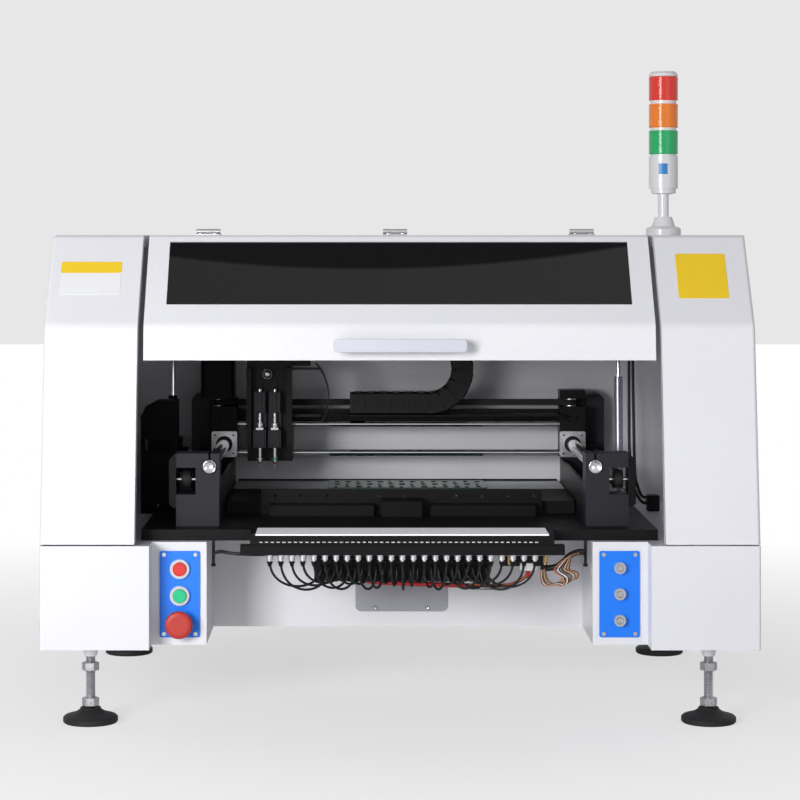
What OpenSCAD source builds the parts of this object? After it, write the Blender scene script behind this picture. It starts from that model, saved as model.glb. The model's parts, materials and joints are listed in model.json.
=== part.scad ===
// Desktop pick and place machine: a sheet-metal cabinet with a lift-up hood over a belt-driven
// gantry, a two-nozzle head and a bank of push feeders, standing on four levelling feet.
// Frame: X across the front, Y from the front (-Y) to the back, Z up from the floor.

/* [Cabinet] */
// Overall width
machine_w = 1040; // [1030:2:1060]
// Overall depth
machine_d = 700; // [700:2:720]
// Height of the cabinet's underside above the floor
base_bottom = 114; // [112:1:120]
// Height of the lower cabinet's top
base_top = 264; // [264:1:265]
// Height of the covers' flat top
cover_top = 712; // [710:1:714]
// Thickness of the sheet metal
sheet = 2; // [1.5:0.5:2.5]
// Width of each side cover
cover_w = 137; // [134:1:138]
// Width of each front side box of the lower cabinet
side_box_w = 158; // [150:1:160]
// Half the width of the recess under the feeders
recess_half = 282; // [280:1:284]

/* [Hood] */
// Half the width of the hood
hood_half = 375; // [370:1:376]
// Height of the hood's lower lip
lip_z = 529; // [525:1:532]
// Position of the hinge pins behind the machine's middle
hinge_y = 190; // [188:1:192]
// Half the width of the window
window_half = 343.5; // [335:0.5:345]
// Length of the handle
handle_l = 195; // [160:5:220]

/* [Motion] */
// Sideways offset of the moving mechanism
mech_x = 5; // [4:1:6]
// Half the distance between the two Y shafts
shaft_half = 286.3; // [286:0.1:287]
// Radius of the Y shafts
shaft_r = 10; // [9.5:0.5:10]
// Height of the Y shafts
shaft_z = 368.5; // [368:0.5:369]
// Pitch radius of the Y belt pulleys
y_pulley_r = 12; // [11.5:0.5:12]
// Pitch radius of the X belt pulleys
x_pulley_r = 8; // [7.5:0.5:8]
// Pitch of the cable chain's links
link_pitch = 20.8; // [20.8:0.1:21]
// Bending radius of the cable chain
chain_r = 55; // [54:1:56]
// Distance between the two nozzles
nozzle_pitch = 24; // [24:0.5:26]

/* [Feeders] */
// Number of feeder positions
feeder_count = 25; // [20:1:25]
// Distance between feeder positions
feeder_pitch = 16; // [15:0.5:16]

/* [Feet] */
// Radius of a foot pad
pad_r = 40; // [36:1:42]
// Distance of the feet from the machine's middle, sideways
foot_x = 452; // [445:1:455]
// Distance of the feet from the machine's middle, front and back
foot_y = 295; // [290:1:300]

/* [Hidden] */
$fn = 48;

half_w = machine_w / 2;
half_d = machine_d / 2;
cover_in = half_w - cover_w;          // inner edge of a side cover
box_in = half_w - side_box_w;         // inner edge of a side box
panel_y = -half_d + 49;               // face that carries the blue plates
apron_y = -134;                       // back of the recess under the feeders
rear_wall_y = 229;                    // front face of the wall behind the gantry

// Side profile of the covers, (y, z)
cover_profile = [
  [-half_d, base_top + sheet], [half_d, base_top + sheet], [half_d, cover_top],
  [-200, cover_top], [-300, 580]
];

// Path of the hood's sheet, (y, z), from the lip to the hinge edge
hood_rear_y = hinge_y - 3;
hood_path = [[-297, lip_z], [-291, 580], [-190, cover_top], [hood_rear_y, cover_top]];
hood_flange = 30;
window_low = [-268.1, 609.9];
window_high = [-197.1, 702.7];
window_t = 3;

// Bed and feeders
bed_t = 15;
bed_z = base_top + bed_t + 1;         // top of the bed plate, with the 1 mm liner under it
bed_half = 379;
bed_front = -285;
tongue_front = -340;
tongue_left = -217;
tongue_right = 223;
bar_z = 250;                          // underside of the front bar
bar_top = 264;
bar_front = -343;
bar_back = -323;
feeder_y = -332;

// Y motion
belt_off = 35.2;                      // belt centre outboard of the shaft
belt_w = 10;
belt_t = 1.5;
pulley_z = 348;
idler_y = -222;
drive_y = 209;
block_w = 64;
block_front = -244;
block_back = -196;
block_top = 388;
rear_block_front = 192;
rear_block_back = 227;

// Gantry, parked at the back
bearing_y = 143.5;                    // front face of the bearing flanges
flange_w = 42;
flange_t = 6;
barrel_r = 16;
carriage_back = 186;
rod_y = 166;
rod_r = 5;
upper_rod_z = 400;
lower_rod_z = 353;
x_belt_z = 432;                       // lower edge of the X belt
x_belt_w = 9;
x_motor_x = mech_x - 297;
x_idler_x = mech_x + 284;

// Cable chain
chain_h = 35;
chain_front = 98;
chain_back = 138;
chain_low = 421;                      // underside of the lower run
chain_fix_x = -71;                    // fixed end of the lower run
lower_links = 6;
bend_links = 8;
upper_links = 10;
bend_x = chain_fix_x + lower_links * link_pitch;
bend_z = chain_low + chain_h / 2 + chain_r;
link_gap = 0.6;

// Head
head_x = -204.5;
head_half = 36.5;
head_front = 80;
head_back = 92;
head_low = 364;
head_top = 520;
nozzle_y = 66;
nozzle_x = [head_x - 3.1 - nozzle_pitch / 2, head_x - 3.1 + nozzle_pitch / 2];
z_pulley_z = 488;

// Gas struts
strut_x = 365;
strut_foot = [120, 300];
strut_head = [146, 693];
strut_eye_r = 8.2;
stud_at = [150, 693];
strut_len = norm(strut_head - strut_foot);
strut_tilt = atan2(strut_head.x - strut_foot.x, strut_head.y - strut_foot.y);

// Control panels
panel_x = 321;
panel_z = 188;
panel_w = 59;
panel_h = 126;
panel_t = 2;
red_z = 225;
green_z = 186;
estop_z = 146;
socket_z = [227, 189, 150.5];

// Tower light
tower_x = 456;
tower_y = 270;

// Colours
white = [0.92, 0.92, 0.94];
pale = [0.85, 0.85, 0.87];
black = [0.07, 0.07, 0.08];
charcoal = [0.14, 0.14, 0.16];
steel = [0.75, 0.75, 0.77];
silver = [0.85, 0.86, 0.87];
blue = [0.10, 0.46, 0.95];
red = [0.82, 0.12, 0.10];
green = [0.06, 0.72, 0.48];
amber = [0.95, 0.50, 0.10];
brass = [0.80, 0.62, 0.25];
smoke = [0.10, 0.11, 0.12, 0.6];

// ---- Shared shapes and functions

function unit(v) = v / norm(v);
function left_of(v) = [-v.y, v.x];

// Closed outline moved inwards by t; the points run anticlockwise
function inset(p, t) = [
  for (i = [0:len(p) - 1])
    let (n = len(p),
         a = left_of(unit(p[i] - p[(i + n - 1) % n])),
         b = left_of(unit(p[(i + 1) % n] - p[i])))
    p[i] + t * (a + b) / (1 + a * b)
];

// Open path moved to its right by t
function beside(p, t) = [
  for (i = [0:len(p) - 1])
    let (a = -left_of(unit(p[max(i, 1)] - p[max(i, 1) - 1])),
         b = -left_of(unit(p[min(i, len(p) - 2) + 1] - p[min(i, len(p) - 2)])))
    p[i] + t * (a + b) / (1 + a * b)
];
function reversed(p) = [for (i = [len(p) - 1:-1:0]) p[i]];
function band(p, t) = concat(p, reversed(beside(p, t)));

// Box between two corners
module block(low, high) {
  translate(low) cube(high - low);
}

// A (y, z) outline drawn out along X, and an (x, z) outline drawn out along Y
module along_x(x0, x1) {
  translate([x0, 0, 0]) rotate([90, 0, 90]) linear_extrude(x1 - x0) children();
}
module along_y(y0, y1) {
  translate([0, y1, 0]) rotate([90, 0, 0]) linear_extrude(y1 - y0) children();
}

// Round bars along each axis
module bar_x(x0, x1, y, z, r) {
  translate([x0, y, z]) rotate([0, 90, 0]) cylinder(h = x1 - x0, r = r);
}
module bar_y(y0, y1, x, z, r) {
  translate([x, y0, z]) rotate([-90, 0, 0]) cylinder(h = y1 - y0, r = r);
}
module bar_z(z0, z1, x, y, r) {
  translate([x, y, z0]) cylinder(h = z1 - z0, r = r);
}

// Rectangle with round corners, centred
module round_rect(w, h, r) {
  square([w - 2 * r, h], center = true);
  square([w, h - 2 * r], center = true);
  for (x = [-1, 1], y = [-1, 1])
    translate([x * (w / 2 - r), y * (h / 2 - r)]) circle(r);
}

// Hexagon across its flats
module hexagon(across) {
  circle(r = across / 2 / cos(30), $fn = 6);
}

// Round cable swept along points
module cable(p, r, sides = 8, ref = [1, 0, 0]) {
  n = len(p);
  dir = [for (i = [0:n - 1]) unit(p[min(i + 1, n - 1)] - p[max(i - 1, 0)])];
  u = [for (d = dir) unit(cross(d, ref))];
  v = [for (i = [0:n - 1]) cross(dir[i], u[i])];
  ring = [for (i = [0:n - 1], k = [0:sides - 1])
    p[i] + r * (cos(360 * k / sides) * u[i] + sin(360 * k / sides) * v[i])];
  walls = [for (i = [0:n - 2], k = [0:sides - 1])
    let (m = (k + 1) % sides)
    [i * sides + k, (i + 1) * sides + k, (i + 1) * sides + m, i * sides + m]];
  ends = [[for (k = [0:sides - 1]) k], [for (k = [sides - 1:-1:0]) (n - 1) * sides + k]];
  polyhedron(ring, concat(walls, ends));
}

// ---- Cabinet

base_plan = [
  [-half_w, -half_d], [-box_in, -half_d], [-box_in, panel_y], [-recess_half, panel_y],
  [-recess_half, apron_y], [recess_half, apron_y], [recess_half, panel_y], [box_in, panel_y],
  [box_in, -half_d], [half_w, -half_d], [half_w, half_d], [-half_w, half_d]
];

module base_housing() {
  color(white) difference() {
    translate([0, 0, base_bottom]) linear_extrude(base_top - base_bottom) polygon(base_plan);
    translate([0, 0, base_bottom + sheet])
      linear_extrude(base_top - base_bottom - 2 * sheet) polygon(inset(base_plan, sheet));
    // access opening behind the small cover
    block([-60, apron_y - 1, 142], [71, apron_y + sheet + 1, 218]);
    // cooling slots in the back
    for (side = [-1, 1], i = [0:9])
      block([side * 260 - 40, half_d - sheet - 1, 138 + i * 11],
            [side * 260 + 40, half_d + 1, 143 + i * 11]);
    // inlet opening in the back
    block([-434, half_d - sheet - 1, 164], [-406, half_d + 1, 212]);
    // clearance holes for the levelling studs
    for (x = [-1, 1], y = [-1, 1])
      bar_z(base_bottom - 1, base_bottom + sheet + 1, x * foot_x, y * foot_y, 7.5);
    // holes for the buttons and sockets of the blue plates
    for (z = [red_z, green_z, estop_z])
      bar_y(panel_y - 1, panel_y + sheet + 1, -panel_x, z, 11.2);
    for (z = socket_z)
      bar_y(panel_y - 1, panel_y + sheet + 1, panel_x, z, 6.2);
  }
}

module cover_shell() {
  cavity = inset(cover_profile, sheet);
  window = inset(cover_profile, 18);
  floor_z = base_top - 5;
  color(white) difference() {
    along_x(cover_in, half_w) polygon(cover_profile);
    along_x(cover_in + sheet, half_w - sheet)
      polygon([[cavity[0].x, floor_z], [cavity[1].x, floor_z], cavity[2], cavity[3], cavity[4]]);
    along_x(cover_in - 1, cover_in + sheet + 1)
      polygon([[window[0].x, floor_z], [window[1].x, floor_z], window[2], window[3], window[4]]);
  }
}

module side_cover_left() {
  mirror([1, 0, 0]) cover_shell();
}

module side_cover_right() {
  difference() {
    cover_shell();
    bar_z(cover_top - 5, cover_top + 5, tower_x, tower_y, 9.2);
  }
}

module top_plate() {
  front = hinge_y + 6;
  path = [[front, cover_top - 20], [front, cover_top], [half_d - sheet, cover_top]];
  color(white) along_x(-cover_in, cover_in) polygon(band(path, sheet));
}

module rear_panel() {
  color(white) difference() {
    block([-cover_in, half_d - sheet, base_top], [cover_in, half_d, cover_top]);
    for (side = [-1, 1], i = [0:13])
      block([side * 230 - 50, half_d - sheet - 1, 400 + i * 13],
            [side * 230 + 50, half_d + 1, 406 + i * 13]);
  }
}

module inner_rear_wall() {
  color(pale) difference() {
    block([-half_w + sheet, rear_wall_y, base_top], [half_w - sheet, rear_wall_y + sheet, 709.5]);
    // cut back where the cover's inner flanges and the wall would meet
    for (side = [-1, 1])
      block([side * (cover_in + 1) - 1.3, rear_wall_y - 1, 693],
            [side * (cover_in + 1) + 1.3, rear_wall_y + sheet + 1, 711]);
  }
}

module access_cover() {
  color(pale) difference() {
    along_y(apron_y - sheet, apron_y)
      translate([5.5, 180]) round_rect(141, 86, 9);
    for (x = [-34.5, 45])
      bar_y(apron_y - sheet - 1, apron_y + 1, x, 141.5, 1.8);
  }
  color(steel) for (x = [-34.5, 45]) screw(x, 141.5, apron_y, 3.2, 1.8, 5);
}

// Pan-head screw with a hexagon socket, its shank going in behind a plate of the sheet's thickness
module screw(x, z, y, head_r, shank_r, depth) {
  difference() {
    union() {
      bar_y(y - sheet - 1.8, y - sheet, x, z, head_r);
      bar_y(y - sheet, y, x, z, shank_r);
    }
    translate([x, y - sheet - 1, z]) rotate([90, 0, 0]) linear_extrude(3) hexagon(head_r);
  }
}

module panel_plates() {
  color(blue) for (side = [-1, 1])
    difference() {
      along_y(panel_y - panel_t, panel_y)
        translate([side * panel_x, panel_z]) round_rect(panel_w, panel_h, 3);
      for (x = [-23, 23], z = [-57.75, 57.75])
        bar_y(panel_y - panel_t - 1, panel_y + 1, side * panel_x + x, panel_z + z, 1.7);
      if (side < 0)
        for (z = [red_z, green_z, estop_z])
          bar_y(panel_y - panel_t - 1, panel_y + 1, -panel_x, z, 11.2);
      else
        for (z = socket_z)
          bar_y(panel_y - panel_t - 1, panel_y + 1, panel_x, z, 6.2);
    }
}

// Ring that clamps a button to its plate, with the contact housing behind
module bezel(z, ring_r, bore_r) {
  difference() {
    union() {
      bar_y(panel_y - panel_t - 5, panel_y - panel_t, -panel_x, z, ring_r);
      bar_y(panel_y - panel_t, panel_y + 30, -panel_x, z, 11.2);
    }
    bar_y(panel_y - panel_t - 6, panel_y + 12, -panel_x, z, bore_r);
  }
}

module panel_fittings() {
  color(steel) {
    bezel(red_z, 14.25, 10.3);
    bezel(green_z, 14.25, 10.3);
    bezel(estop_z, 15, 8.3);
    for (z = socket_z)
      difference() {
        union() {
          bar_y(panel_y - panel_t - 9, panel_y - panel_t, panel_x, z, 8.5);
          bar_y(panel_y - panel_t, panel_y + 14, panel_x, z, 6.2);
        }
        difference() {
          bar_y(panel_y - panel_t - 10, panel_y, panel_x, z, 5.6);
          bar_y(panel_y - panel_t - 4, panel_y, panel_x, z, 3.4);
        }
      }
    for (side = [-1, 1], x = [-23, 23], z = [-57.75, 57.75])
      screw(side * panel_x + x, panel_z + z, panel_y, 2.9, 1.7, 5);
  }
  // mains inlet in the back
  color(charcoal) difference() {
    block([-434, half_d - 22, 164], [-406, half_d, 212]);
    block([-431, half_d - 16, 167], [-409, half_d + 1, 191]);
    block([-431, half_d - 3, 195], [-409, half_d + 1, 209]);
  }
}

// ---- Feet

module foot_places() {
  for (x = [-1, 1], y = [-1, 1]) translate([x * foot_x, y * foot_y, 0]) children();
}

module foot_pads() {
  color(black) foot_places() rotate_extrude()
    polygon([[0, 0], [pad_r - 2, 0], [pad_r, 2], [pad_r, 8], [pad_r - 3, 10.5], [22, 15],
             [15, 20], [15, 22], [0, 22]]);
}

// Threaded rod with a hexagon foot below and a tapered boss under the cabinet
module foot_studs() {
  color(silver) foot_places() {
    bar_z(22, base_bottom + 22, 0, 0, 7);
    translate([0, 0, 97]) cylinder(h = base_bottom - 97, r1 = 9, r2 = 13);
  }
}

module foot_nuts() {
  color(silver) foot_places()
    for (z = [24.5, 76])
      translate([0, 0, z]) linear_extrude(11.5)
        difference() {
          hexagon(22);
          circle(r = 7);
        }
}

// ---- Tower light

module tower_mast() {
  color(white) translate([tower_x, tower_y, 0]) {
    rotate_extrude() polygon([
      [0, cover_top - sheet - 8], [9, cover_top - sheet - 8], [9, cover_top], [29.5, cover_top],
      [29.5, 722], [27, 725], [20, 727], [14.5, 743], [9, 743], [9, 781], [21, 783], [21, 791],
      [24.5, 791], [24.5, 846], [22, 846], [22, 980], [24.5, 981], [24, 985], [20, 989], [0, 990]
    ]);
  }
}

module tower_lenses() {
  lenses = [[849, green], [894, amber], [940, red]];
  for (lens = lenses)
    color(lens[1]) translate([tower_x, tower_y, lens[0]]) rotate_extrude()
      polygon([[22, 0], [24.8, 0], [24.8, 40], [22, 40]]);
}

// ---- Hood

window_dir = unit(window_high - window_low);
window_in = -left_of(window_dir);

// Outline of a slab between two depths under the sloping face
function under_slope(past, near, far) = [
  window_low - past * window_dir + near * window_in,
  window_high + past * window_dir + near * window_in,
  window_high + past * window_dir + far * window_in,
  window_low - past * window_dir + far * window_in
];

module hood_shell() {
  color(white) difference() {
    union() {
      along_x(-hood_half, hood_half) polygon(band(hood_path, sheet));
      for (x = [-hood_half, hood_half - sheet])
        along_x(x, x + sheet) polygon(band(hood_path, hood_flange));
      // stiffening returns along the lip and the hinge edge
      block([-hood_half, -296.9, lip_z], [hood_half, -276, lip_z + sheet]);
      block([-hood_half, hood_rear_y - sheet, cover_top - 16], [hood_half, hood_rear_y, cover_top]);
    }
    along_x(-window_half, window_half) polygon(under_slope(0, -5, 6));
  }
  // ball studs of the gas struts
  color(steel) for (side = [-1, 1])
    bar_x(side * 367 - 6, side * 367 + 6, stud_at.x, stud_at.y, 3);
}

module hood_window() {
  color(smoke) along_x(-window_half - 8, window_half + 8)
    polygon(under_slope(4, sheet, sheet + window_t));
}

module hood_handle() {
  front = -325;
  color(silver) difference() {
    union() {
      along_y(front, front + 9) translate([0, 551.5]) round_rect(handle_l, 19, 6);
      for (side = [-1, 1])
        along_y(front + 8, -285) translate([side * (handle_l / 2 - 9), 551.5]) round_rect(16, 17, 4);
    }
    along_x(-handle_l, handle_l)
      polygon([hood_path[0], [-270, lip_z], [-270, 590], hood_path[1]]);
  }
}

module hinge_places() {
  for (x = [-1, 0, 1]) translate([x * 310, hinge_y, 0]) children();
}

// Fixed leaf: two outer knuckles with the pin through them
module hinge_leaves() {
  color(steel) hinge_places() {
    block([-20, 6, cover_top], [20, 28, cover_top + 2]);
    for (x = [-20, 8.3]) {
      bar_x(x, x + 11.7, 0, cover_top + 6, 4.5);
      block([x, 0.4, cover_top], [x + 11.7, 7, cover_top + 2]);
    }
    bar_x(-20, 20, 0, cover_top + 6, 2);
    for (x = [-12, 12]) bar_z(cover_top + 2, cover_top + 3.2, x, 18, 3.4);
  }
}

// Moving leaf: the middle knuckle turns on the pin
module hood_hinge_leaves() {
  color(steel) hinge_places() difference() {
    union() {
      block([-20, -28, cover_top], [20, -6, cover_top + 2]);
      bar_x(-8, 8, 0, cover_top + 6, 4.5);
      block([-8, -7, cover_top], [8, -0.4, cover_top + 2]);
      for (x = [-12, 12]) bar_z(cover_top + 2, cover_top + 3.2, x, -18, 3.4);
    }
    bar_x(-9, 9, 0, cover_top + 6, 2.05);
  }
}

// ---- Gas struts

module strut_brackets() {
  color(charcoal) for (side = [-1, 1]) {
    block([side * 373 - 8, strut_foot.x - 16, base_top], [side * 373 + 8, strut_foot.x + 16, base_top + 3]);
    along_x(side * 375 - 1.5, side * 375 + 1.5)
      polygon([[strut_foot.x - 14, base_top + 3], [strut_foot.x + 14, base_top + 3],
               [strut_foot.x + 9, strut_foot.y + 9], [strut_foot.x - 9, strut_foot.y + 9]]);
  }
  color(steel) for (side = [-1, 1])
    bar_x(side * 367.5 - 6, side * 367.5 + 6, strut_foot.x, strut_foot.y, 3);
}

// Children drawn along the strut's own axis, from its foot upwards
module on_strut(side) {
  translate([side * strut_x, strut_foot.x, strut_foot.y]) rotate([-strut_tilt, 0, 0]) children();
}

module strut_cylinders() {
  color(charcoal) for (side = [-1, 1]) {
    top = side > 0 ? 181 : 150;
    on_strut(side) difference() {
      union() {
        rotate([0, 90, 0]) cylinder(h = 7, r = 6.5, center = true);
        translate([0, 0, 5]) cylinder(h = 9, r = 3.5);
        translate([0, 0, 13]) cylinder(h = top - 13, r = 7);
      }
      rotate([0, 90, 0]) cylinder(h = 9, r = 3.05, center = true);
      translate([0, 0, 17]) cylinder(h = top, r = 4.1);
    }
  }
}

module strut_rods() {
  color(silver) for (side = [-1, 1])
    on_strut(side) {
      translate([0, 0, 60]) cylinder(h = strut_len - 60 - strut_eye_r - 1, r = 4);
      translate([0, 0, strut_len]) rotate([0, 90, 0]) difference() {
        cylinder(h = 6, r = strut_eye_r + 3.2, center = true);
        cylinder(h = 8, r = strut_eye_r, center = true);
      }
    }
}

// ---- Bed and feeders

module bed_plate() {
  color(black) difference() {
    translate([0, 0, base_top]) linear_extrude(bed_z - base_top) polygon([
      [-bed_half, bed_front], [tongue_left, bed_front], [tongue_left, tongue_front],
      [tongue_right, tongue_front], [tongue_right, bed_front], [bed_half, bed_front],
      [bed_half, 60], [345, 110], [345, rear_wall_y], [-345, rear_wall_y], [-345, 110],
      [-bed_half, 60]
    ]);
    // seat of the tape plate and slot of the comb
    block([-209, tongue_front - 1, bed_z - 2], [215, -262, bed_z + 1]);
    block([-204, tongue_front - 1, 267], [211, tongue_front + 2, 270]);
    for (x = [-1, 1], y = [-270, -100, 60])
      bar_z(bed_z - 6, bed_z + 1, x * 358, y, 4);
  }
}

module tape_guides() {
  color(silver) block([-209, tongue_front, bed_z - 2], [215, -262, bed_z]);
  color(silver) difference() {
    block([-204, tongue_front - 1.5, 267], [211, tongue_front + 2, 270]);
    for (x = [-200:8:208])
      block([x, tongue_front - 2, 268.2], [x + 3, tongue_front + 0.5, 271]);
  }
}

module feeder_blocks() {
  color(black) {
    difference() {
      block([-211, -93, bed_z], [223, -83, 319]);
      for (x = [-190:40:210]) bar_y(-94, -82, x, 309, 2.2);
    }
    for (b = [[-197, -37], [51, 212]])
      along_x(b[0], b[1])
        polygon([[-112, bed_z], [-93, bed_z], [-93, 298], [-110, 298], [-112, 296]]);
    along_x(-25, 37)
      polygon([[-122, bed_z], [-93, bed_z], [-93, 306], [-119, 306], [-122, 303]]);
  }
}

module front_bar() {
  color(black) difference() {
    block([-231, bar_front, bar_z], [238, bar_back, bar_top]);
    for (x = [-1, 1]) bar_z(bar_z - 1, bar_top + 1, 3.5 + x * 222, -333, 2.5);
  }
}

function feeder_at(i) = 3.5 + (i - (feeder_count - 1) / 2) * feeder_pitch;

// Push solenoids under the bar, each with a hexagon seat and a lead boss
module solenoids() {
  color(silver) for (i = [0:feeder_count - 1])
    translate([feeder_at(i), feeder_y, 0]) {
      translate([0, 0, bar_z - 2.5]) linear_extrude(2.5) hexagon(10.5);
      bar_z(bar_z - 8, bar_z - 2.5, 0, 0, 4.6);
      bar_z(bar_z - 10, bar_z - 8, 0, 0, 3);
    }
}

connector_z = 238;
connector_y = -300;
connector_w = 8;
connector_pitch = 9.92;
function connector_at(i) = 6 + (i - (feeder_count - 1) / 2) * connector_pitch;

// Connector strip under the bed, with its standoffs and the pegs that hold the loom
module cable_fittings() {
  color(charcoal) {
    block([-125, connector_y + 6, 206], [206, connector_y + 8, base_top]);
    for (i = [0:feeder_count - 1])
      translate([connector_at(i), connector_y, 0]) difference() {
        union() {
          block([-connector_w / 2, -4, 222], [connector_w / 2, 6, connector_z]);
          block([-connector_w / 2 + 1, -2, 206], [connector_w / 2 - 1, 6, 220]);
        }
        block([-connector_w / 2 + 1.5, -5, 226], [connector_w / 2 - 1.5, 0, 234]);
      }
    // saddle that takes the two hood cables to the floor
    block([408, 90, base_top], [428, 114, 290]);
    for (side = [-1, 1]) {
      bar_z(230, base_top, side * 273, -283.5, 2.2);
      bar_z(226, 230, side * 273, -283.5, 3.4);
    }
  }
  color(brass) for (x = [159, 211])
    translate([x, -316, 236]) linear_extrude(base_top - 236) hexagon(5);
}

// Lead from one solenoid, down in a loop and up into its connector
function lead_route(i) =
  let (a = feeder_at(i), b = connector_at(i), sag = 33 + 5 * sin(i * 97))
  concat([for (k = [0:8])
    let (u = k / 8, ease = u * u * (3 - 2 * u))
    [a + (b - a) * ease, feeder_y + (connector_y - 7 - feeder_y) * ease,
     bar_z - 10 - (bar_z - 10 - 230) * u - 4 * sag * u * (1 - u)]], [[b, connector_y, 230]]);

loom_route = [[-60, -292, 222], [-60, -288, 221.5], [-54, -284.5, 218], [-40, -284, 215],
              [-15, -284, 213], [30, -284, 211], [80, -284, 209], [130, -284, 207],
              [165, -284, 208], [181, -285, 213], [188, -288, 218.8], [188, -292, 219]];
left_cable = [[-273, -289, 246], [-262, -294, 249], [-250, -300, 248], [-235, -303, 247],
              [-205, -304, 246], [-175, -303, 247], [-150, -299, 248], [-137, -294.6, 248],
              [-125, -293, 248]];
right_cable = [[270, -293, 248], [262, -294, 248.5], [250, -295, 244], [240, -296, 235],
               [231, -296, 228], [220, -293.5, 225], [206, -293, 225]];
strut_cables = [
  [[379.2, 229, 686], [379.2, 205, 685], [379.2, 170, 680], [379.2, 140, 668],
   [379.2, 112, 648], [379.2, 102, 600], [379.2, 102, 540], [379.2, 102, 480],
   [379.2, 101, 420], [380, 100, 360], [384, 98, 315], [391, 98, 293], [397, 98, 282],
   [402.5, 98, 277.2], [408, 98, 276.6]],
  [[388, 229, 686], [388, 206, 685], [387, 172, 680], [386, 143, 668], [386, 115, 648],
   [386, 105, 600], [386, 106, 540], [386, 106, 480], [387, 105, 420],
   [388, 104, 360], [390, 106, 318], [394, 107, 303], [398, 107, 292], [402.4, 107, 286.4],
   [408, 107, 285.4]]
];

module wiring() {
  color(black) for (i = [0:feeder_count - 1]) cable(lead_route(i), 1.6);
  color(red) cable(loom_route, 4, ref = [0, 0, 1]);
  color(black) cable(left_cable, 2.5, ref = [0, 0, 1]);
  color(black) cable(right_cable, 6, ref = [0, 0, 1]);
  color(black) for (route = strut_cables) cable(route, 2.5, ref = [0, 1, 0]);
}

module board_platform() {
  path = [[-80, bed_z], [-80, 300], [rear_wall_y, 300]];
  color(pale) along_x(mech_x - 270, mech_x + 270) polygon(band(path, sheet));
}

// ---- Y drive

// Children placed for the right half, then mirrored about the mechanism's middle
module both_sides() {
  for (side = [-1, 1]) translate([mech_x, 0, 0]) scale_x(side) children();
}
module scale_x(side) {
  if (side < 0) mirror([1, 0, 0]) children();
  else children();
}

module clamp_slit() {
  translate([shaft_half, shaft_z]) circle(r = shaft_r);
  translate([shaft_half - 1.5, shaft_z]) square([3, 40]);
}

module shaft_blocks() {
  inner = shaft_half - 14.3;
  color(charcoal) both_sides() {
    // front block with the notch of the idler pulley
    difference() {
      along_y(block_front, block_back) difference() {
        translate([inner, bed_z]) square([block_w, block_top - bed_z]);
        clamp_slit();
        translate([inner + block_w - 29, 327]) square([30, 40]);
      }
      bar_x(inner + 20, inner + block_w, idler_y, pulley_z, 3);
      bar_x(inner - 1, inner + 30, block_front + 24, 383, 2.5);
    }
    // back block with the bearings of the drive shaft
    difference() {
      along_y(rear_block_front, rear_block_back) difference() {
        polygon([[inner, bed_z], [343, bed_z], [343, 440], [335, 448], [312, 448],
                 [312, block_top], [inner, block_top]]);
        clamp_slit();
        translate([309, 330]) square([21, 36]);
      }
      bar_x(inner - 1, 344, drive_y, pulley_z, 6.05);
    }
  }
}

// Polished Y shafts, and the pins of the idler pulleys
module steel_shafts() {
  color(silver) both_sides() {
    translate([shaft_half, 0, shaft_z]) rotate([-90, 0, 0]) {
      translate([0, 0, block_front - 3]) cylinder(h = 1, r1 = shaft_r - 1, r2 = shaft_r);
      translate([0, 0, block_front - 2])
        cylinder(h = rear_block_back - block_front + 2, r = shaft_r);
    }
    bar_x(shaft_half + 5.7, 347, idler_y, pulley_z, 3);
  }
}

// Long inner walls of the Y tracks, and the chamfered plates outside the front blocks
module rail_walls() {
  color(charcoal) both_sides() {
    along_x(272, 277)
      polygon([[block_back, bed_z], [rear_block_front, bed_z], [rear_block_front, 340],
               [block_back, 340]]);
    difference() {
      along_y(-240, block_back)
        polygon([[336, 307], [341, 307], [347, 313], [347, 378], [337, block_top], [336, block_top]]);
      bar_x(335, 348, idler_y, pulley_z, 3);
    }
  }
}

// Flat loop of belt round two pulleys of equal size
module belt_loop(a, b, r) {
  difference() {
    union() {
      translate([a, 0]) circle(r);
      translate([b, 0]) circle(r);
      translate([a, -r]) square([b - a, 2 * r]);
    }
    translate([a, 0]) circle(r - belt_t);
    translate([b, 0]) circle(r - belt_t);
    translate([a, -r + belt_t]) square([b - a, 2 * r - 2 * belt_t]);
  }
}

module y_belts() {
  color(black) both_sides()
    along_x(shaft_half + belt_off - belt_w / 2, shaft_half + belt_off + belt_w / 2)
      translate([0, pulley_z]) belt_loop(idler_y, drive_y, y_pulley_r + 0.8);
}

// Flanged pulley on its own axis, centred, with a bore
module pulley(body_r, flange_r, width, bore_r, teeth = 0) {
  difference() {
    union() {
      cylinder(h = width + 3, r = body_r, center = true);
      for (side = [-1, 1])
        translate([0, 0, side * (width / 2 + 1.1)]) cylinder(h = 1.4, r = flange_r, center = true);
    }
    if (bore_r > 0) cylinder(h = width + 5, r = bore_r, center = true);
    if (teeth > 0)
      for (i = [0:teeth - 1])
        rotate(i * 360 / teeth) translate([body_r, 0, 0])
          cube([0.9, body_r * 1.6 / teeth * 2, width], center = true);
  }
}

module y_idlers() {
  color(black) both_sides()
    translate([shaft_half + belt_off, idler_y, pulley_z]) rotate([0, 90, 0])
      pulley(y_pulley_r - 1, 13.5, belt_w + 0.8, 3.05);
}

// Cross shaft that drives both belts
module y_drive_shaft() {
  color(steel) bar_x(mech_x - 350, mech_x + 345, drive_y, pulley_z, 6);
  color(black) both_sides()
    translate([shaft_half + belt_off, drive_y, pulley_z]) rotate([0, 90, 0])
      pulley(y_pulley_r - 1, 13.5, belt_w + 0.8, 0, 20);
}

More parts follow.
